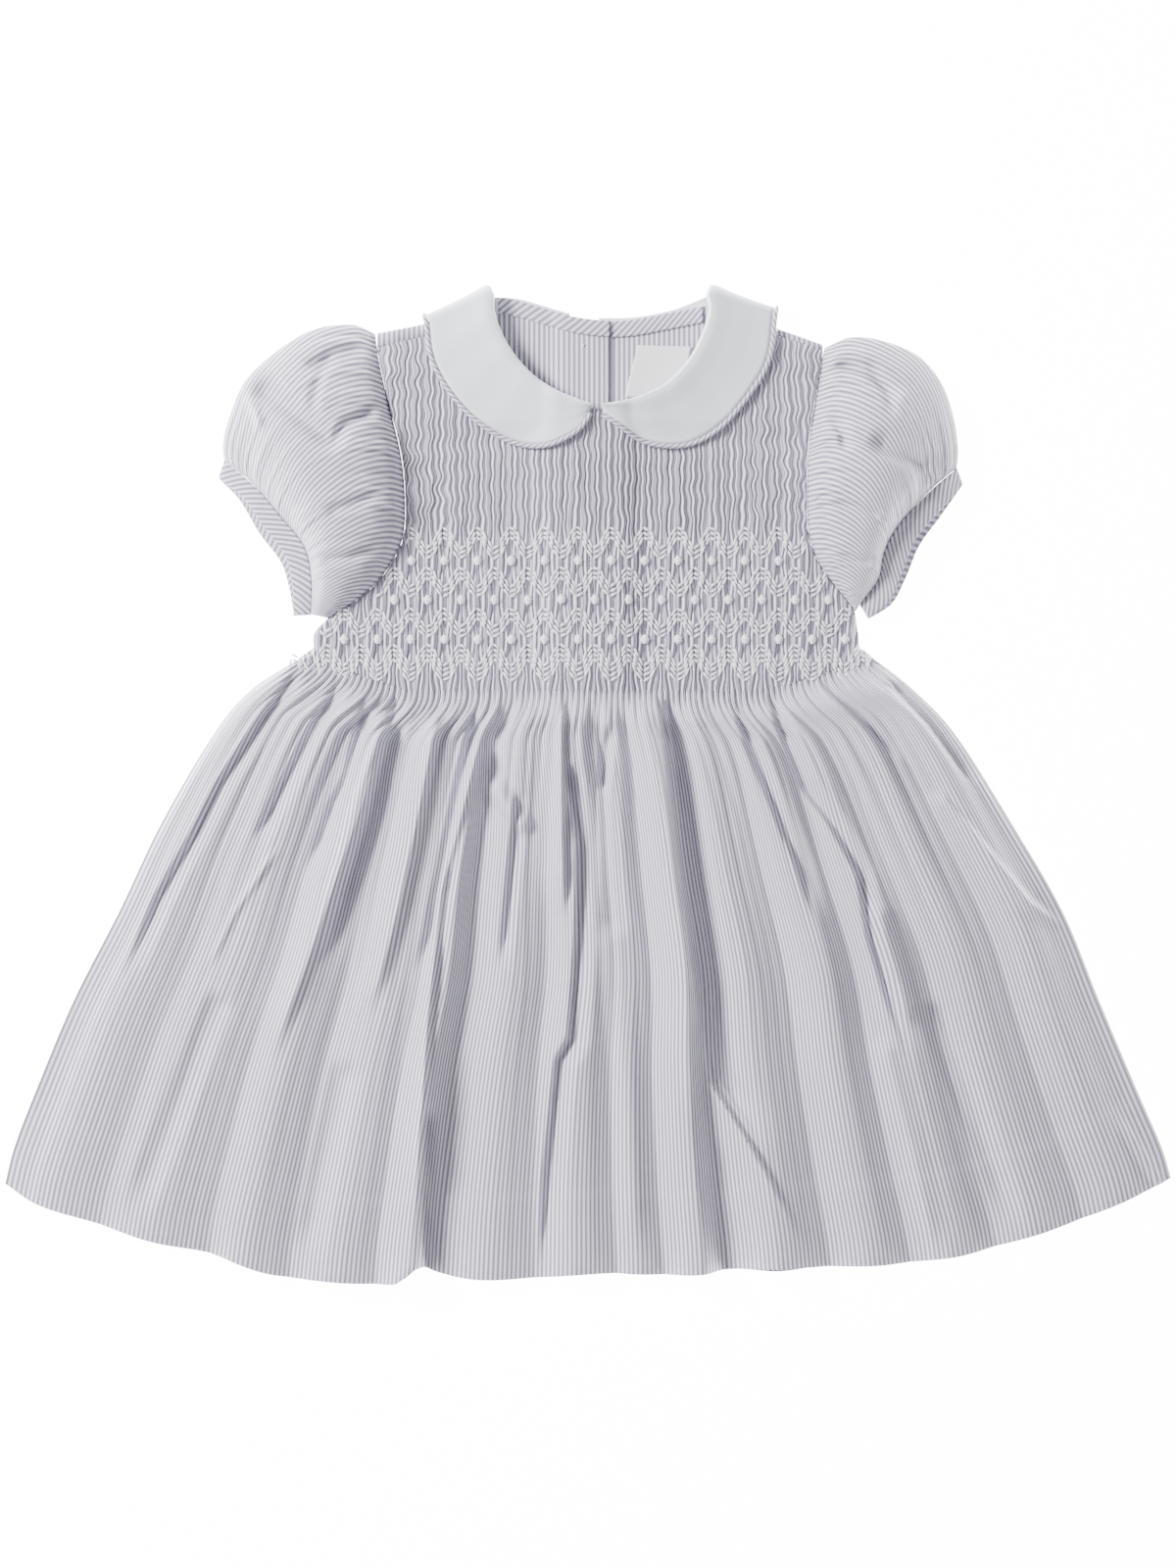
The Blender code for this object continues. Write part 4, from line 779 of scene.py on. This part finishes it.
def sleeve_place(side, share, out):
    """Plan of a sleeve: share from shoulder to underarm, out from armhole to band."""
    outward = -0.15 if side == "left" else 0.15
    levels = np.linspace(190.0, ARMHOLE[side][-1][1] + 1.0, 24)
    armhole = [SLEEVE_TOP[side][0]] + [(float(edge_x(side, y)) + outward, float(y)) for y in levels]
    armhole.append((ARMHOLE[side][-1][0] + 2.0 * outward, ARMHOLE[side][-1][1]))
    seam, top = BAND_SEAM[side], SLEEVE_TOP[side]
    under = [armhole[-1], seam[-1]]
    share, out = np.broadcast_arrays(share, out)
    across = between(along(armhole, share), along(seam, share), out[..., None])
    length = between(along(top, out), along(under, out), share[..., None])
    near = between(np.array(armhole[0]), np.array(armhole[-1]), share[..., None])
    far = between(np.array(seam[0]), np.array(seam[-1]), share[..., None])
    return across + length - between(near, far, out[..., None])


def sleeve_top(share, out):
    crown = read(curved([row[:2] for row in SLEEVE_SHAPE[1:]]), out) * PUFF
    edge = read(SLEEVE_SHAPE, out, 0, 2)
    return edge + crown * np.sin(math.pi * np.clip(share, 0.0, 1.0)) ** 0.75 * (1.0 - 0.35 * share)


def sleeve(side):
    share = np.linspace(0.0, 1.0, 201)[None, :]
    out = np.linspace(0.0, 1.0, 72)[:, None]
    plan = sleeve_place(side, share, out)
    share, out = np.broadcast_arrays(share, out)
    gather = read(SLEEVE_SHAPE, out, 0, 3)
    raised = gather * (1.0 * ridges(share, 34, 21 if side == "left" else 22, 0.7)
                       + 0.8 * ridges(share, 15, 23 if side == "left" else 24, 1.1)) * np.sin(math.pi * share) ** 0.3
    raised = raised * (0.8 + 0.45 * uneven(share * 14.0 + 3.0, out * 5.0 + 8.0, 34))
    x, y = plan[..., 0], plan[..., 1]
    z = sleeve_top(share, out) + raised + 1.6 * creases(x, y, SLEEVE_CREASES[side])
    z = np.maximum(z, 2.6)
    over = np.stack([x, y, z], axis=-1)
    turn = []
    for edge_share, order in ((1.0, 1), (0.0, -1)):
        rows = []
        for angle in np.linspace(0.0, math.pi, 9)[1:-1]:
            angle = angle if order == 1 else math.pi - angle
            spot = sleeve_place(side, between(edge_share, 0.5, 0.012 * (1.0 - math.cos(angle))), out[:, 0])
            tall = sleeve_top(edge_share, out[:, 0])
            rows.append(np.stack([spot[..., 0], spot[..., 1], tall * (0.5 + 0.5 * math.cos(angle))], axis=-1))
        turn.append(np.stack(rows, axis=1))
    under_share = np.linspace(0.988, 0.012, 41)[None, :]
    under_plan = sleeve_place(side, under_share, out[:, :1])
    under = np.concatenate([under_plan, np.zeros((*under_plan.shape[:2], 1))], axis=-1)
    ring = np.concatenate([over, turn[0], under, turn[1], over[:, :1]], axis=1)
    middle = ring[len(ring) // 2]
    run = np.concatenate([[0.0], np.cumsum(np.linalg.norm(np.diff(middle, axis=0), axis=1))])
    run = run * round(run[-1] / STRIPE) * STRIPE / run[-1]
    cloth = Cloth()
    out = np.broadcast_to(out[:, :1] * SLEEVE_LENGTH, ring.shape[:2])
    cloth.grid(ring, np.stack([run - SLEEVE_SLANT * out, out + SLEEVE_SLANT * run], axis=-1))
    return cloth


def band_place(side, share, reach):
    seam = along(BAND_SEAM[side], share)
    edge = along(BAND_EDGE[side], share)
    way = edge - seam
    length = np.linalg.norm(way, axis=-1, keepdims=True)
    return seam + way / length * np.asarray(reach)[..., None], length[..., 0]


def band(side):
    share = np.linspace(0.0, 1.0, 81)[None, :]
    out = np.linspace(0.0, 1.0, 15)[:, None]
    share, out = np.broadcast_arrays(share, out)
    length = band_place(side, share, 0.0 * share)[1]
    plan = band_place(side, share, BAND_START + out * (length - BAND_START))[0]
    z = sleeve_top(share, 1.0) + 0.5 * np.sin(math.pi * out) + 0.25 * ridges(share, 22, 31, 1.0) * (1.0 - out)
    over = np.concatenate([plan, z[..., None]], axis=-1)
    low_share = share[:, ::-1]
    low_length = length[:, ::-1]
    reach = BAND_START + out * (low_length - BAND_START + 3.5 * np.sin(math.pi * low_share))
    low = np.concatenate([band_place(side, low_share, reach)[0], np.zeros((*low_share.shape, 1))], axis=-1)
    walls = []
    for start, end in ((over[:, -1], low[:, 0]), (low[:, -1], over[:, 0])):
        steps = np.linspace(0.0, 1.0, 7)[1:-1]
        walls.append(np.stack([between(start, end, 0.5 - 0.5 * math.cos(math.pi * step)) for step in steps], axis=1))
    ring = np.concatenate([over, walls[0], low, walls[1], over[:, :1]], axis=1)
    run = np.concatenate([[0.0], np.cumsum(np.linalg.norm(np.diff(ring[0], axis=0), axis=1))])
    period = STRIPE * math.sqrt(2.0)
    run = run * round(run[-1] / period) * period / run[-1]
    wide = out[:, :1] * 8.5
    slant = 1.0 if side == "left" else -1.0
    u = (run[None, :] + slant * wide) / math.sqrt(2.0)
    v = (run[None, :] - slant * wide) / math.sqrt(2.0)
    cloth = Cloth()
    cloth.grid(ring, np.stack([u, v], axis=-1))
    return cloth


# Back

def back_skirt():
    cloth = Cloth()
    share, down = np.broadcast_arrays(np.linspace(0.0, 1.0, 321)[None, :], np.linspace(0.0, 1.0, 60)[:, None])
    start_y = 60.0 - GAP
    ends = [read(SIDE[side], between(start_y, SIDE[side][-1][1], down), 1, 0) for side in ("left", "right")]
    x = between(*ends, share)
    hem_x = between(HEM[0][0], HEM[-1][0], share)
    hem_y = read(HEM, hem_x) - 2.2 * smooth(1.0 - np.abs(hem_x - 84.0) / 22.0)
    y = between(start_y, hem_y, down)
    fine = ridges(share, 78, 41, 0.9) * (1.0 - smooth((down - 0.05) / 0.35))
    broad = ridges(share, 26, 42, 0.9) * smooth(down / 0.1) * (1.0 - 0.6 * smooth(down))
    edge = smooth(np.minimum(share, 1.0 - share) / 0.02)
    z = 0.75 * (1.0 - np.clip(0.8 * fine + 0.6 * broad, 0.0, 1.0)) * edge
    step = np.hypot(np.diff(x, axis=1), 3.0 * np.diff(z, axis=1))
    u = np.concatenate([np.zeros((len(x), 1)), np.cumsum(step, axis=1)], axis=1)
    u = u / u[:, -1:] * BACK_WIDTH
    cloth.grid(np.stack([x, y, z], axis=-1), np.stack([u, -y], axis=-1))
    return cloth


def back_bodice(side):
    inward = 1.0 if side == "left" else -1.0
    fold = SHOULDER_FOLD[side]
    neck_x = fold[-1][0]
    top = [fold[-1]] + [point for point in BACK_NECK if (point[0] - neck_x) * inward > 0.1]
    lap = LAP_RIGHT if side == "left" else LAP_LEFT
    shoulder_share = np.linspace(0.0, 1.0, 21)
    neck_share = np.linspace(0.0, 1.0, 41)[1:]

    def columns(y):
        outer = edge_x(side, y) + np.where(y > ARMHOLE[side][-1][1], 0.15 * inward, 0.0)
        return np.concatenate([between(outer, neck_x, shoulder_share), between(neck_x, lap, neck_share)])

    def turn(x):
        y = read(fold, x)
        low = back_floor(x, y, side)
        inner = np.maximum((front_floor(x, read(NECKLINE, x)) - WALL - low) / 2.0, 0.2)
        return WALL + inner, y - WALL - inner, low + WALL + inner

    rows = []
    for y in np.linspace(60.3, 106.0, 12):
        x = columns(y)
        rows.append(np.stack([x, np.full_like(x, y), back_floor(x, y, side)], axis=-1))
    for up in np.linspace(0.0, 1.0, 31)[1:]:
        x = columns(between(106.0, fold[0][1], up))
        top_y = np.where((neck_x - x) * inward >= -0.01, turn(x)[1], read(top, x))
        y = between(106.0, top_y, up)
        rows.append(np.stack([x, y, back_floor(x, y, side)], axis=-1))
    cloth = Cloth()
    main = np.stack(rows)
    cloth.grid(main, main[..., :2] * np.array([1.0, -1.0]))
    x = rows[-1][:len(shoulder_share), 0]
    radius, centre_y, centre_z = turn(x)
    turned = [rows[-1][:len(shoulder_share)]]
    for angle in np.radians(np.linspace(-90.0, 90.0, 13)[1:]):
        turned.append(np.stack([x, centre_y + radius * np.cos(angle), centre_z + radius * np.sin(angle)], axis=-1))
    turned.append(np.stack([x, read(NECKLINE, x) + GAP, centre_z + radius], axis=-1))
    turned = np.stack(turned)
    run = turned[0, :, 1] + np.arange(len(turned))[:, None] * 1.2
    cloth.grid(turned, np.stack([turned[..., 0], -run], axis=-1))
    return cloth


def neck_binding(side):
    first, last = {"left": (-39.5, 9.5), "right": (50.5, 10.2)}[side]
    x = np.linspace(first, last, 50)[None, :]
    down = np.linspace(0.0, 7.0, 9)[:, None]
    x, down = np.broadcast_arrays(x, down)
    y = read(BACK_NECK, x) - down
    z = back_floor(x, y, side) + WALL + GAP + 0.8 - 0.25 * smooth(np.abs(down - 3.5) / 3.5)
    cloth = Cloth()
    flat = np.stack([(x + down) / math.sqrt(2.0), (x - down) / math.sqrt(2.0)], axis=-1)
    cloth.grid(np.stack([x, y, z], axis=-1), flat)
    return cloth


def label():
    across, down = np.broadcast_arrays(np.linspace(0.0, 1.0, 25)[None, :], np.linspace(0.0, 1.0, 21)[:, None])
    corners = [np.array(corner) for corner in LABEL]
    left = between(corners[0], corners[3], down[..., None])
    right = between(corners[1], corners[2], down[..., None])
    plan = between(left, right, across[..., None])
    x, y = plan[..., 0], plan[..., 1]
    lift = 0.5 * smooth(down) * (np.abs(2.0 * across - 1.0) ** 2) + 0.15 * np.sin(5.0 * across + 3.0 * down)
    z = back_floor(x, y, "right") + WALL + GAP + 0.6 + lift * smooth(down / 0.2)
    cloth = Cloth()
    cloth.grid(np.stack([x, y, z], axis=-1), np.stack([x, -y], axis=-1))
    return cloth


# Collar and its piping

def collar_point(side, place, t):
    """A point of a collar half: place 0 at the centre front, 1 at the shoulder, 2 at the centre back."""
    def reached(neck, edge, share, reach):
        return between(along(neck[side], share), along(edge[side], share), reach)

    reach = np.interp(t, np.linspace(0.0, 1.0, len(COLLAR_SHAPE) - 1), [row[0] for row in COLLAR_SHAPE[1:]])
    rise = np.interp(t, np.linspace(0.0, 1.0, len(COLLAR_SHAPE) - 1), [row[1] for row in COLLAR_SHAPE[1:]])
    back_reach = np.interp(t, np.linspace(0.0, 1.0, len(COLLAR_SHAPE) - 1), [row[2] for row in COLLAR_SHAPE[1:]])

    def front(share):
        x, y = reached(COLLAR_NECK, COLLAR_EDGE, share, reach)
        ripple = 0.35 * math.sin(9.0 * share + 1.0) * smooth(reach / 0.5) + 0.12 * math.sin(31.0 * share)
        return np.array([x, y, front_floor(x, y) + 2.0 * WALL + 1.6 + COLLAR_GAP + rise + ripple])

    def back(share):
        x, y = reached(COLLAR_BACK_NECK, COLLAR_BACK_EDGE, share, back_reach)
        return np.array([x, y, 0.0])

    if place <= 1.0:
        return front(place)
    turn_end = 1.0 + COLLAR_TURN
    if place >= turn_end:
        return back((place - turn_end) / (1.0 - COLLAR_TURN))
    over, under = front(1.0), back(0.0)
    angle = math.pi * (place - 1.0) / COLLAR_TURN
    way = np.array(COLLAR_EDGE[side][-1]) - np.array(COLLAR_NECK[side][-1])
    way = np.abs(way) / np.linalg.norm(way)
    radius = (over[2] - under[2]) / 2.0
    drift = (1.0 - math.cos(angle)) / 2.0
    out_x = -way[1] if side == "left" else way[1]
    spot = between(over, under, drift)
    return np.array([spot[0] + out_x * radius * math.sin(angle), spot[1] + way[0] * radius * math.sin(angle),
                     (over[2] + under[2]) / 2.0 + radius * math.cos(angle)])


def collar_places():
    front = np.linspace(0.0, 1.0, 61)
    turn = np.linspace(1.0, 1.0 + COLLAR_TURN, 13)[1:-1]
    back = np.linspace(1.0 + COLLAR_TURN, 2.0, 41)
    return np.concatenate([front, turn, back])


def collar(side):
    rows = np.linspace(0.0, 1.0, 31)
    points = np.array([[collar_point(side, place, t) for place in collar_places()] for t in rows])
    cloth = Cloth()
    cloth.grid(points, points[..., :2].copy())
    return cloth


def piping(side):
    places = collar_places()
    edge = np.array([collar_point(side, place, 1.0) for place in places])
    inside = np.array([collar_point(side, place, 0.85) for place in places])
    under = smooth((places - 1.0) / COLLAR_TURN)[:, None]
    tangent = np.gradient(edge, axis=0)
    tangent /= np.linalg.norm(tangent, axis=1, keepdims=True)
    out = edge - inside
    out -= (out * tangent).sum(axis=1, keepdims=True) * tangent
    out /= np.linalg.norm(out, axis=1, keepdims=True)
    side_way = np.cross(tangent, out)
    radius = PIPING_RADIUS * between(1.0, 0.52, under)
    lift = between(PIPING_RADIUS - 1.0, radius, under)
    centre = edge + out * (radius + 0.1) + np.array([0.0, 0.0, 1.0]) * lift
    angles = np.linspace(0.0, 2.0 * math.pi, 15)
    spokes = out[:, None, :] * np.cos(angles)[:, None] + side_way[:, None, :] * np.sin(angles)[:, None]
    tube = centre[:, None, :] + radius[:, :, None] * spokes
    run = np.concatenate([[0.0], np.cumsum(np.linalg.norm(np.diff(centre, axis=0), axis=1))])
    around = angles * STRIPE * math.sqrt(2.0) * 3.0 / (2.0 * math.pi)
    u = (run[:, None] + around[None, :]) / math.sqrt(2.0)
    cloth = Cloth()
    cloth.grid(tube, np.stack([u, (run[:, None] - around[None, :]) / math.sqrt(2.0)], axis=-1))
    return cloth, centre


# Buttons

def button(name, y, body, thread):
    for chosen in bpy.context.selected_objects:
        chosen.select_set(False)
    bpy.ops.mesh.primitive_cylinder_add(vertices=48, radius=4.6 * MM, depth=1.2 * MM,
                                        location=(BUTTON_X * MM, y * MM, 0.6 * MM))
    made = bpy.context.object
    made.name = "button_disc_" + name
    bpy.ops.object.mode_set(mode="EDIT")
    bpy.ops.mesh.select_all(action="DESELECT")
    bpy.ops.object.mode_set(mode="OBJECT")
    low = min(made.data.polygons, key=lambda face: face.center.z)
    low.select = True
    bpy.ops.object.mode_set(mode="EDIT")
    bpy.ops.mesh.inset(thickness=0.9 * MM, depth=0.0)
    bpy.ops.mesh.inset(thickness=0.4 * MM, depth=-0.35 * MM)
    bpy.ops.object.mode_set(mode="OBJECT")
    for across, along_y in ((-0.9, -0.9), (0.9, -0.9), (-0.9, 0.9), (0.9, 0.9)):
        bpy.ops.mesh.primitive_cylinder_add(vertices=16, radius=0.5 * MM, depth=3.0 * MM,
                                            location=((BUTTON_X + across) * MM, (y + along_y) * MM, 0.6 * MM))
        drill = bpy.context.object
        hole = made.modifiers.new("hole", "BOOLEAN")
        hole.operation = "DIFFERENCE"
        hole.object = drill
        bpy.context.view_layer.objects.active = made
        bpy.ops.object.modifier_apply(modifier=hole.name)
        bpy.data.objects.remove(drill, do_unlink=True)
    made.select_set(True)
    bpy.context.view_layer.objects.active = made
    bpy.ops.object.transform_apply(location=True, rotation=True, scale=True)
    rim = made.modifiers.new("rim", "BEVEL")
    rim.width = 0.2 * MM
    rim.segments = 3
    bpy.ops.object.modifier_apply(modifier=rim.name)
    bpy.ops.object.shade_smooth_by_angle(angle=math.radians(40.0))
    made.data.materials.append(body)
    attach(made, "root")
    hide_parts("button_" + name)
    starts = [[BUTTON_X - 0.9, y - 0.9, 0.35], [BUTTON_X - 0.9, y + 0.9, 0.35]]
    ends = [[BUTTON_X + 0.9, y + 0.9, 0.35], [BUTTON_X + 0.9, y - 0.9, 0.35]]
    stitches("button_thread_" + name, starts, ends, [0.22, 0.22], -0.1, thread)


def dress():
    stripe = striped_cotton("striped_cotton", (0.86, 0.86, 0.95), (0.32, 0.285, 0.385))
    white = plain_cotton("white_cotton", (0.80, 0.82, 0.88))
    thread = plain_cotton("white_thread", (0.93, 0.93, 0.97), 0.75)
    tape = plain_cotton("white_tape", (0.86, 0.86, 0.89))
    shell = plain_cotton("white_button", (0.88, 0.88, 0.86), 0.35)

    made = bodice().build("front_bodice", stripe, upward, weld=False)
    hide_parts("front_panel")
    made = skirt().build("front_skirt", stripe, None)
    wave_stitches(thread)
    satin_dots(thread)

    made = back_skirt().build("back_skirt_cloth", stripe, downward)
    thicken(made, 0.25)
    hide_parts("back_skirt")
    for side in ("left", "right"):
        made = back_bodice(side).build("back_bodice_cloth_" + side, stripe, downward)
        thicken(made, 0.95)
        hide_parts("back_bodice_" + side)
        made = sleeve(side).build("sleeve_cloth_" + side, stripe, upward)
        aim(made, 6.0)
        thicken(made, 0.8)
        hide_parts("sleeve_" + side)
        made = band(side).build("band_cloth_" + side, stripe, upward)
        aim(made, 4.0)
        thicken(made, 1.0)
        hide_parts("band_" + side)
        made = neck_binding(side).build("neck_binding_cloth_" + side, stripe, upward)
        thicken(made, 0.75)
        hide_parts("neck_binding_" + side)
        made = collar(side).build("collar_cloth_" + side, white, upward)
        aim_up(made)
        thicken(made, 0.95)
        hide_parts("collar_" + side)
        tube, centre = piping(side)
        made = tube.build("piping_cord_" + side, stripe, upward)
        around(made, centre * MM)
        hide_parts("piping_" + side)
    made = label().build("neck_label", tape, upward)
    thicken(made, 0.45)
    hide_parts("label")
    for name, y in BUTTONS:
        button(name, y, shell, thread)
    knot = np.array([[-2.9, 193.6], [-2.6, 192.3], [-1.4, 193.5], [-1.6, 192.2]])
    knot = np.column_stack([knot, back_floor(knot[:, 0], knot[:, 1], "left") + WALL + 0.25])
    stitches("button_knot", knot[:2], knot[[3, 2]], [0.28, 0.28], 0.2, thread)


def turn_outward(piece, outward):
    """Turns every face over if most of them look inwards."""
    work = bmesh.new()
    work.from_mesh(piece.data)
    total = sum(face.normal.dot(outward(face.calc_center_median())) * face.calc_area() for face in work.faces)
    if total < 0.0:
        bmesh.ops.reverse_faces(work, faces=work.faces[:])
        work.to_mesh(piece.data)
    work.free()


def aim(piece, height):
    """Outward for a flattened tube: away from its middle height."""
    def outward(place):
        return (0.0, 0.0, 1.0 if place.z > height * MM else -1.0)
    turn_outward(piece, outward)


def aim_up(piece):
    """Outward for the collar: up on the front, down on the back."""
    def outward(place):
        return (0.0, 0.0, 1.0 if place.z > 4.0 * MM else -1.0)
    turn_outward(piece, outward)


def around(piece, centre):
    def outward(place):
        spot = np.array(place)
        way = spot - centre[np.argmin(np.linalg.norm(centre - spot, axis=1))]
        return tuple(way)
    turn_outward(piece, outward)


def studio():
    for chosen in bpy.context.selected_objects:
        chosen.select_set(False)
    bpy.ops.mesh.primitive_plane_add(size=40.0, location=(0.0, 0.0, -0.0004))
    floor = bpy.context.object
    floor.name = "floor"
    paper = bpy.data.materials.new("white_paper")
    paper.use_nodes = True
    paper.node_tree.nodes["Principled BSDF"].inputs["Base Color"].default_value = (0.95, 0.95, 0.95, 1.0)
    paper.node_tree.nodes["Principled BSDF"].inputs["Roughness"].default_value = 1.0
    paper.node_tree.nodes["Principled BSDF"].inputs["Emission Color"].default_value = (1.0, 1.0, 1.0, 1.0)
    paper.node_tree.nodes["Principled BSDF"].inputs["Emission Strength"].default_value = 14.0
    floor.data.materials.append(paper)
    sky = bpy.data.worlds.new("studio")
    sky.use_nodes = True
    sky.node_tree.nodes["Background"].inputs["Color"].default_value = (1.0, 1.0, 1.0, 1.0)
    sky.node_tree.nodes["Background"].inputs["Strength"].default_value = 0.62
    bpy.context.scene.world = sky
    bpy.ops.object.light_add(type="AREA", location=KEY_PLACE)
    key = bpy.context.object
    key.name = "key_light"
    key.data.size = 0.5
    key.data.energy = 82.0
    key.rotation_euler = (-Vector(KEY_PLACE)).to_track_quat("-Z", "Y").to_euler()
    bpy.ops.object.camera_add(location=(0.0, 0.0, 1.632), rotation=(0.0, 0.0, 0.0))
    camera = bpy.context.object
    camera.data.lens = 85.0
    camera.data.sensor_width = 36.0
    bpy.context.scene.camera = camera


dress()
studio()
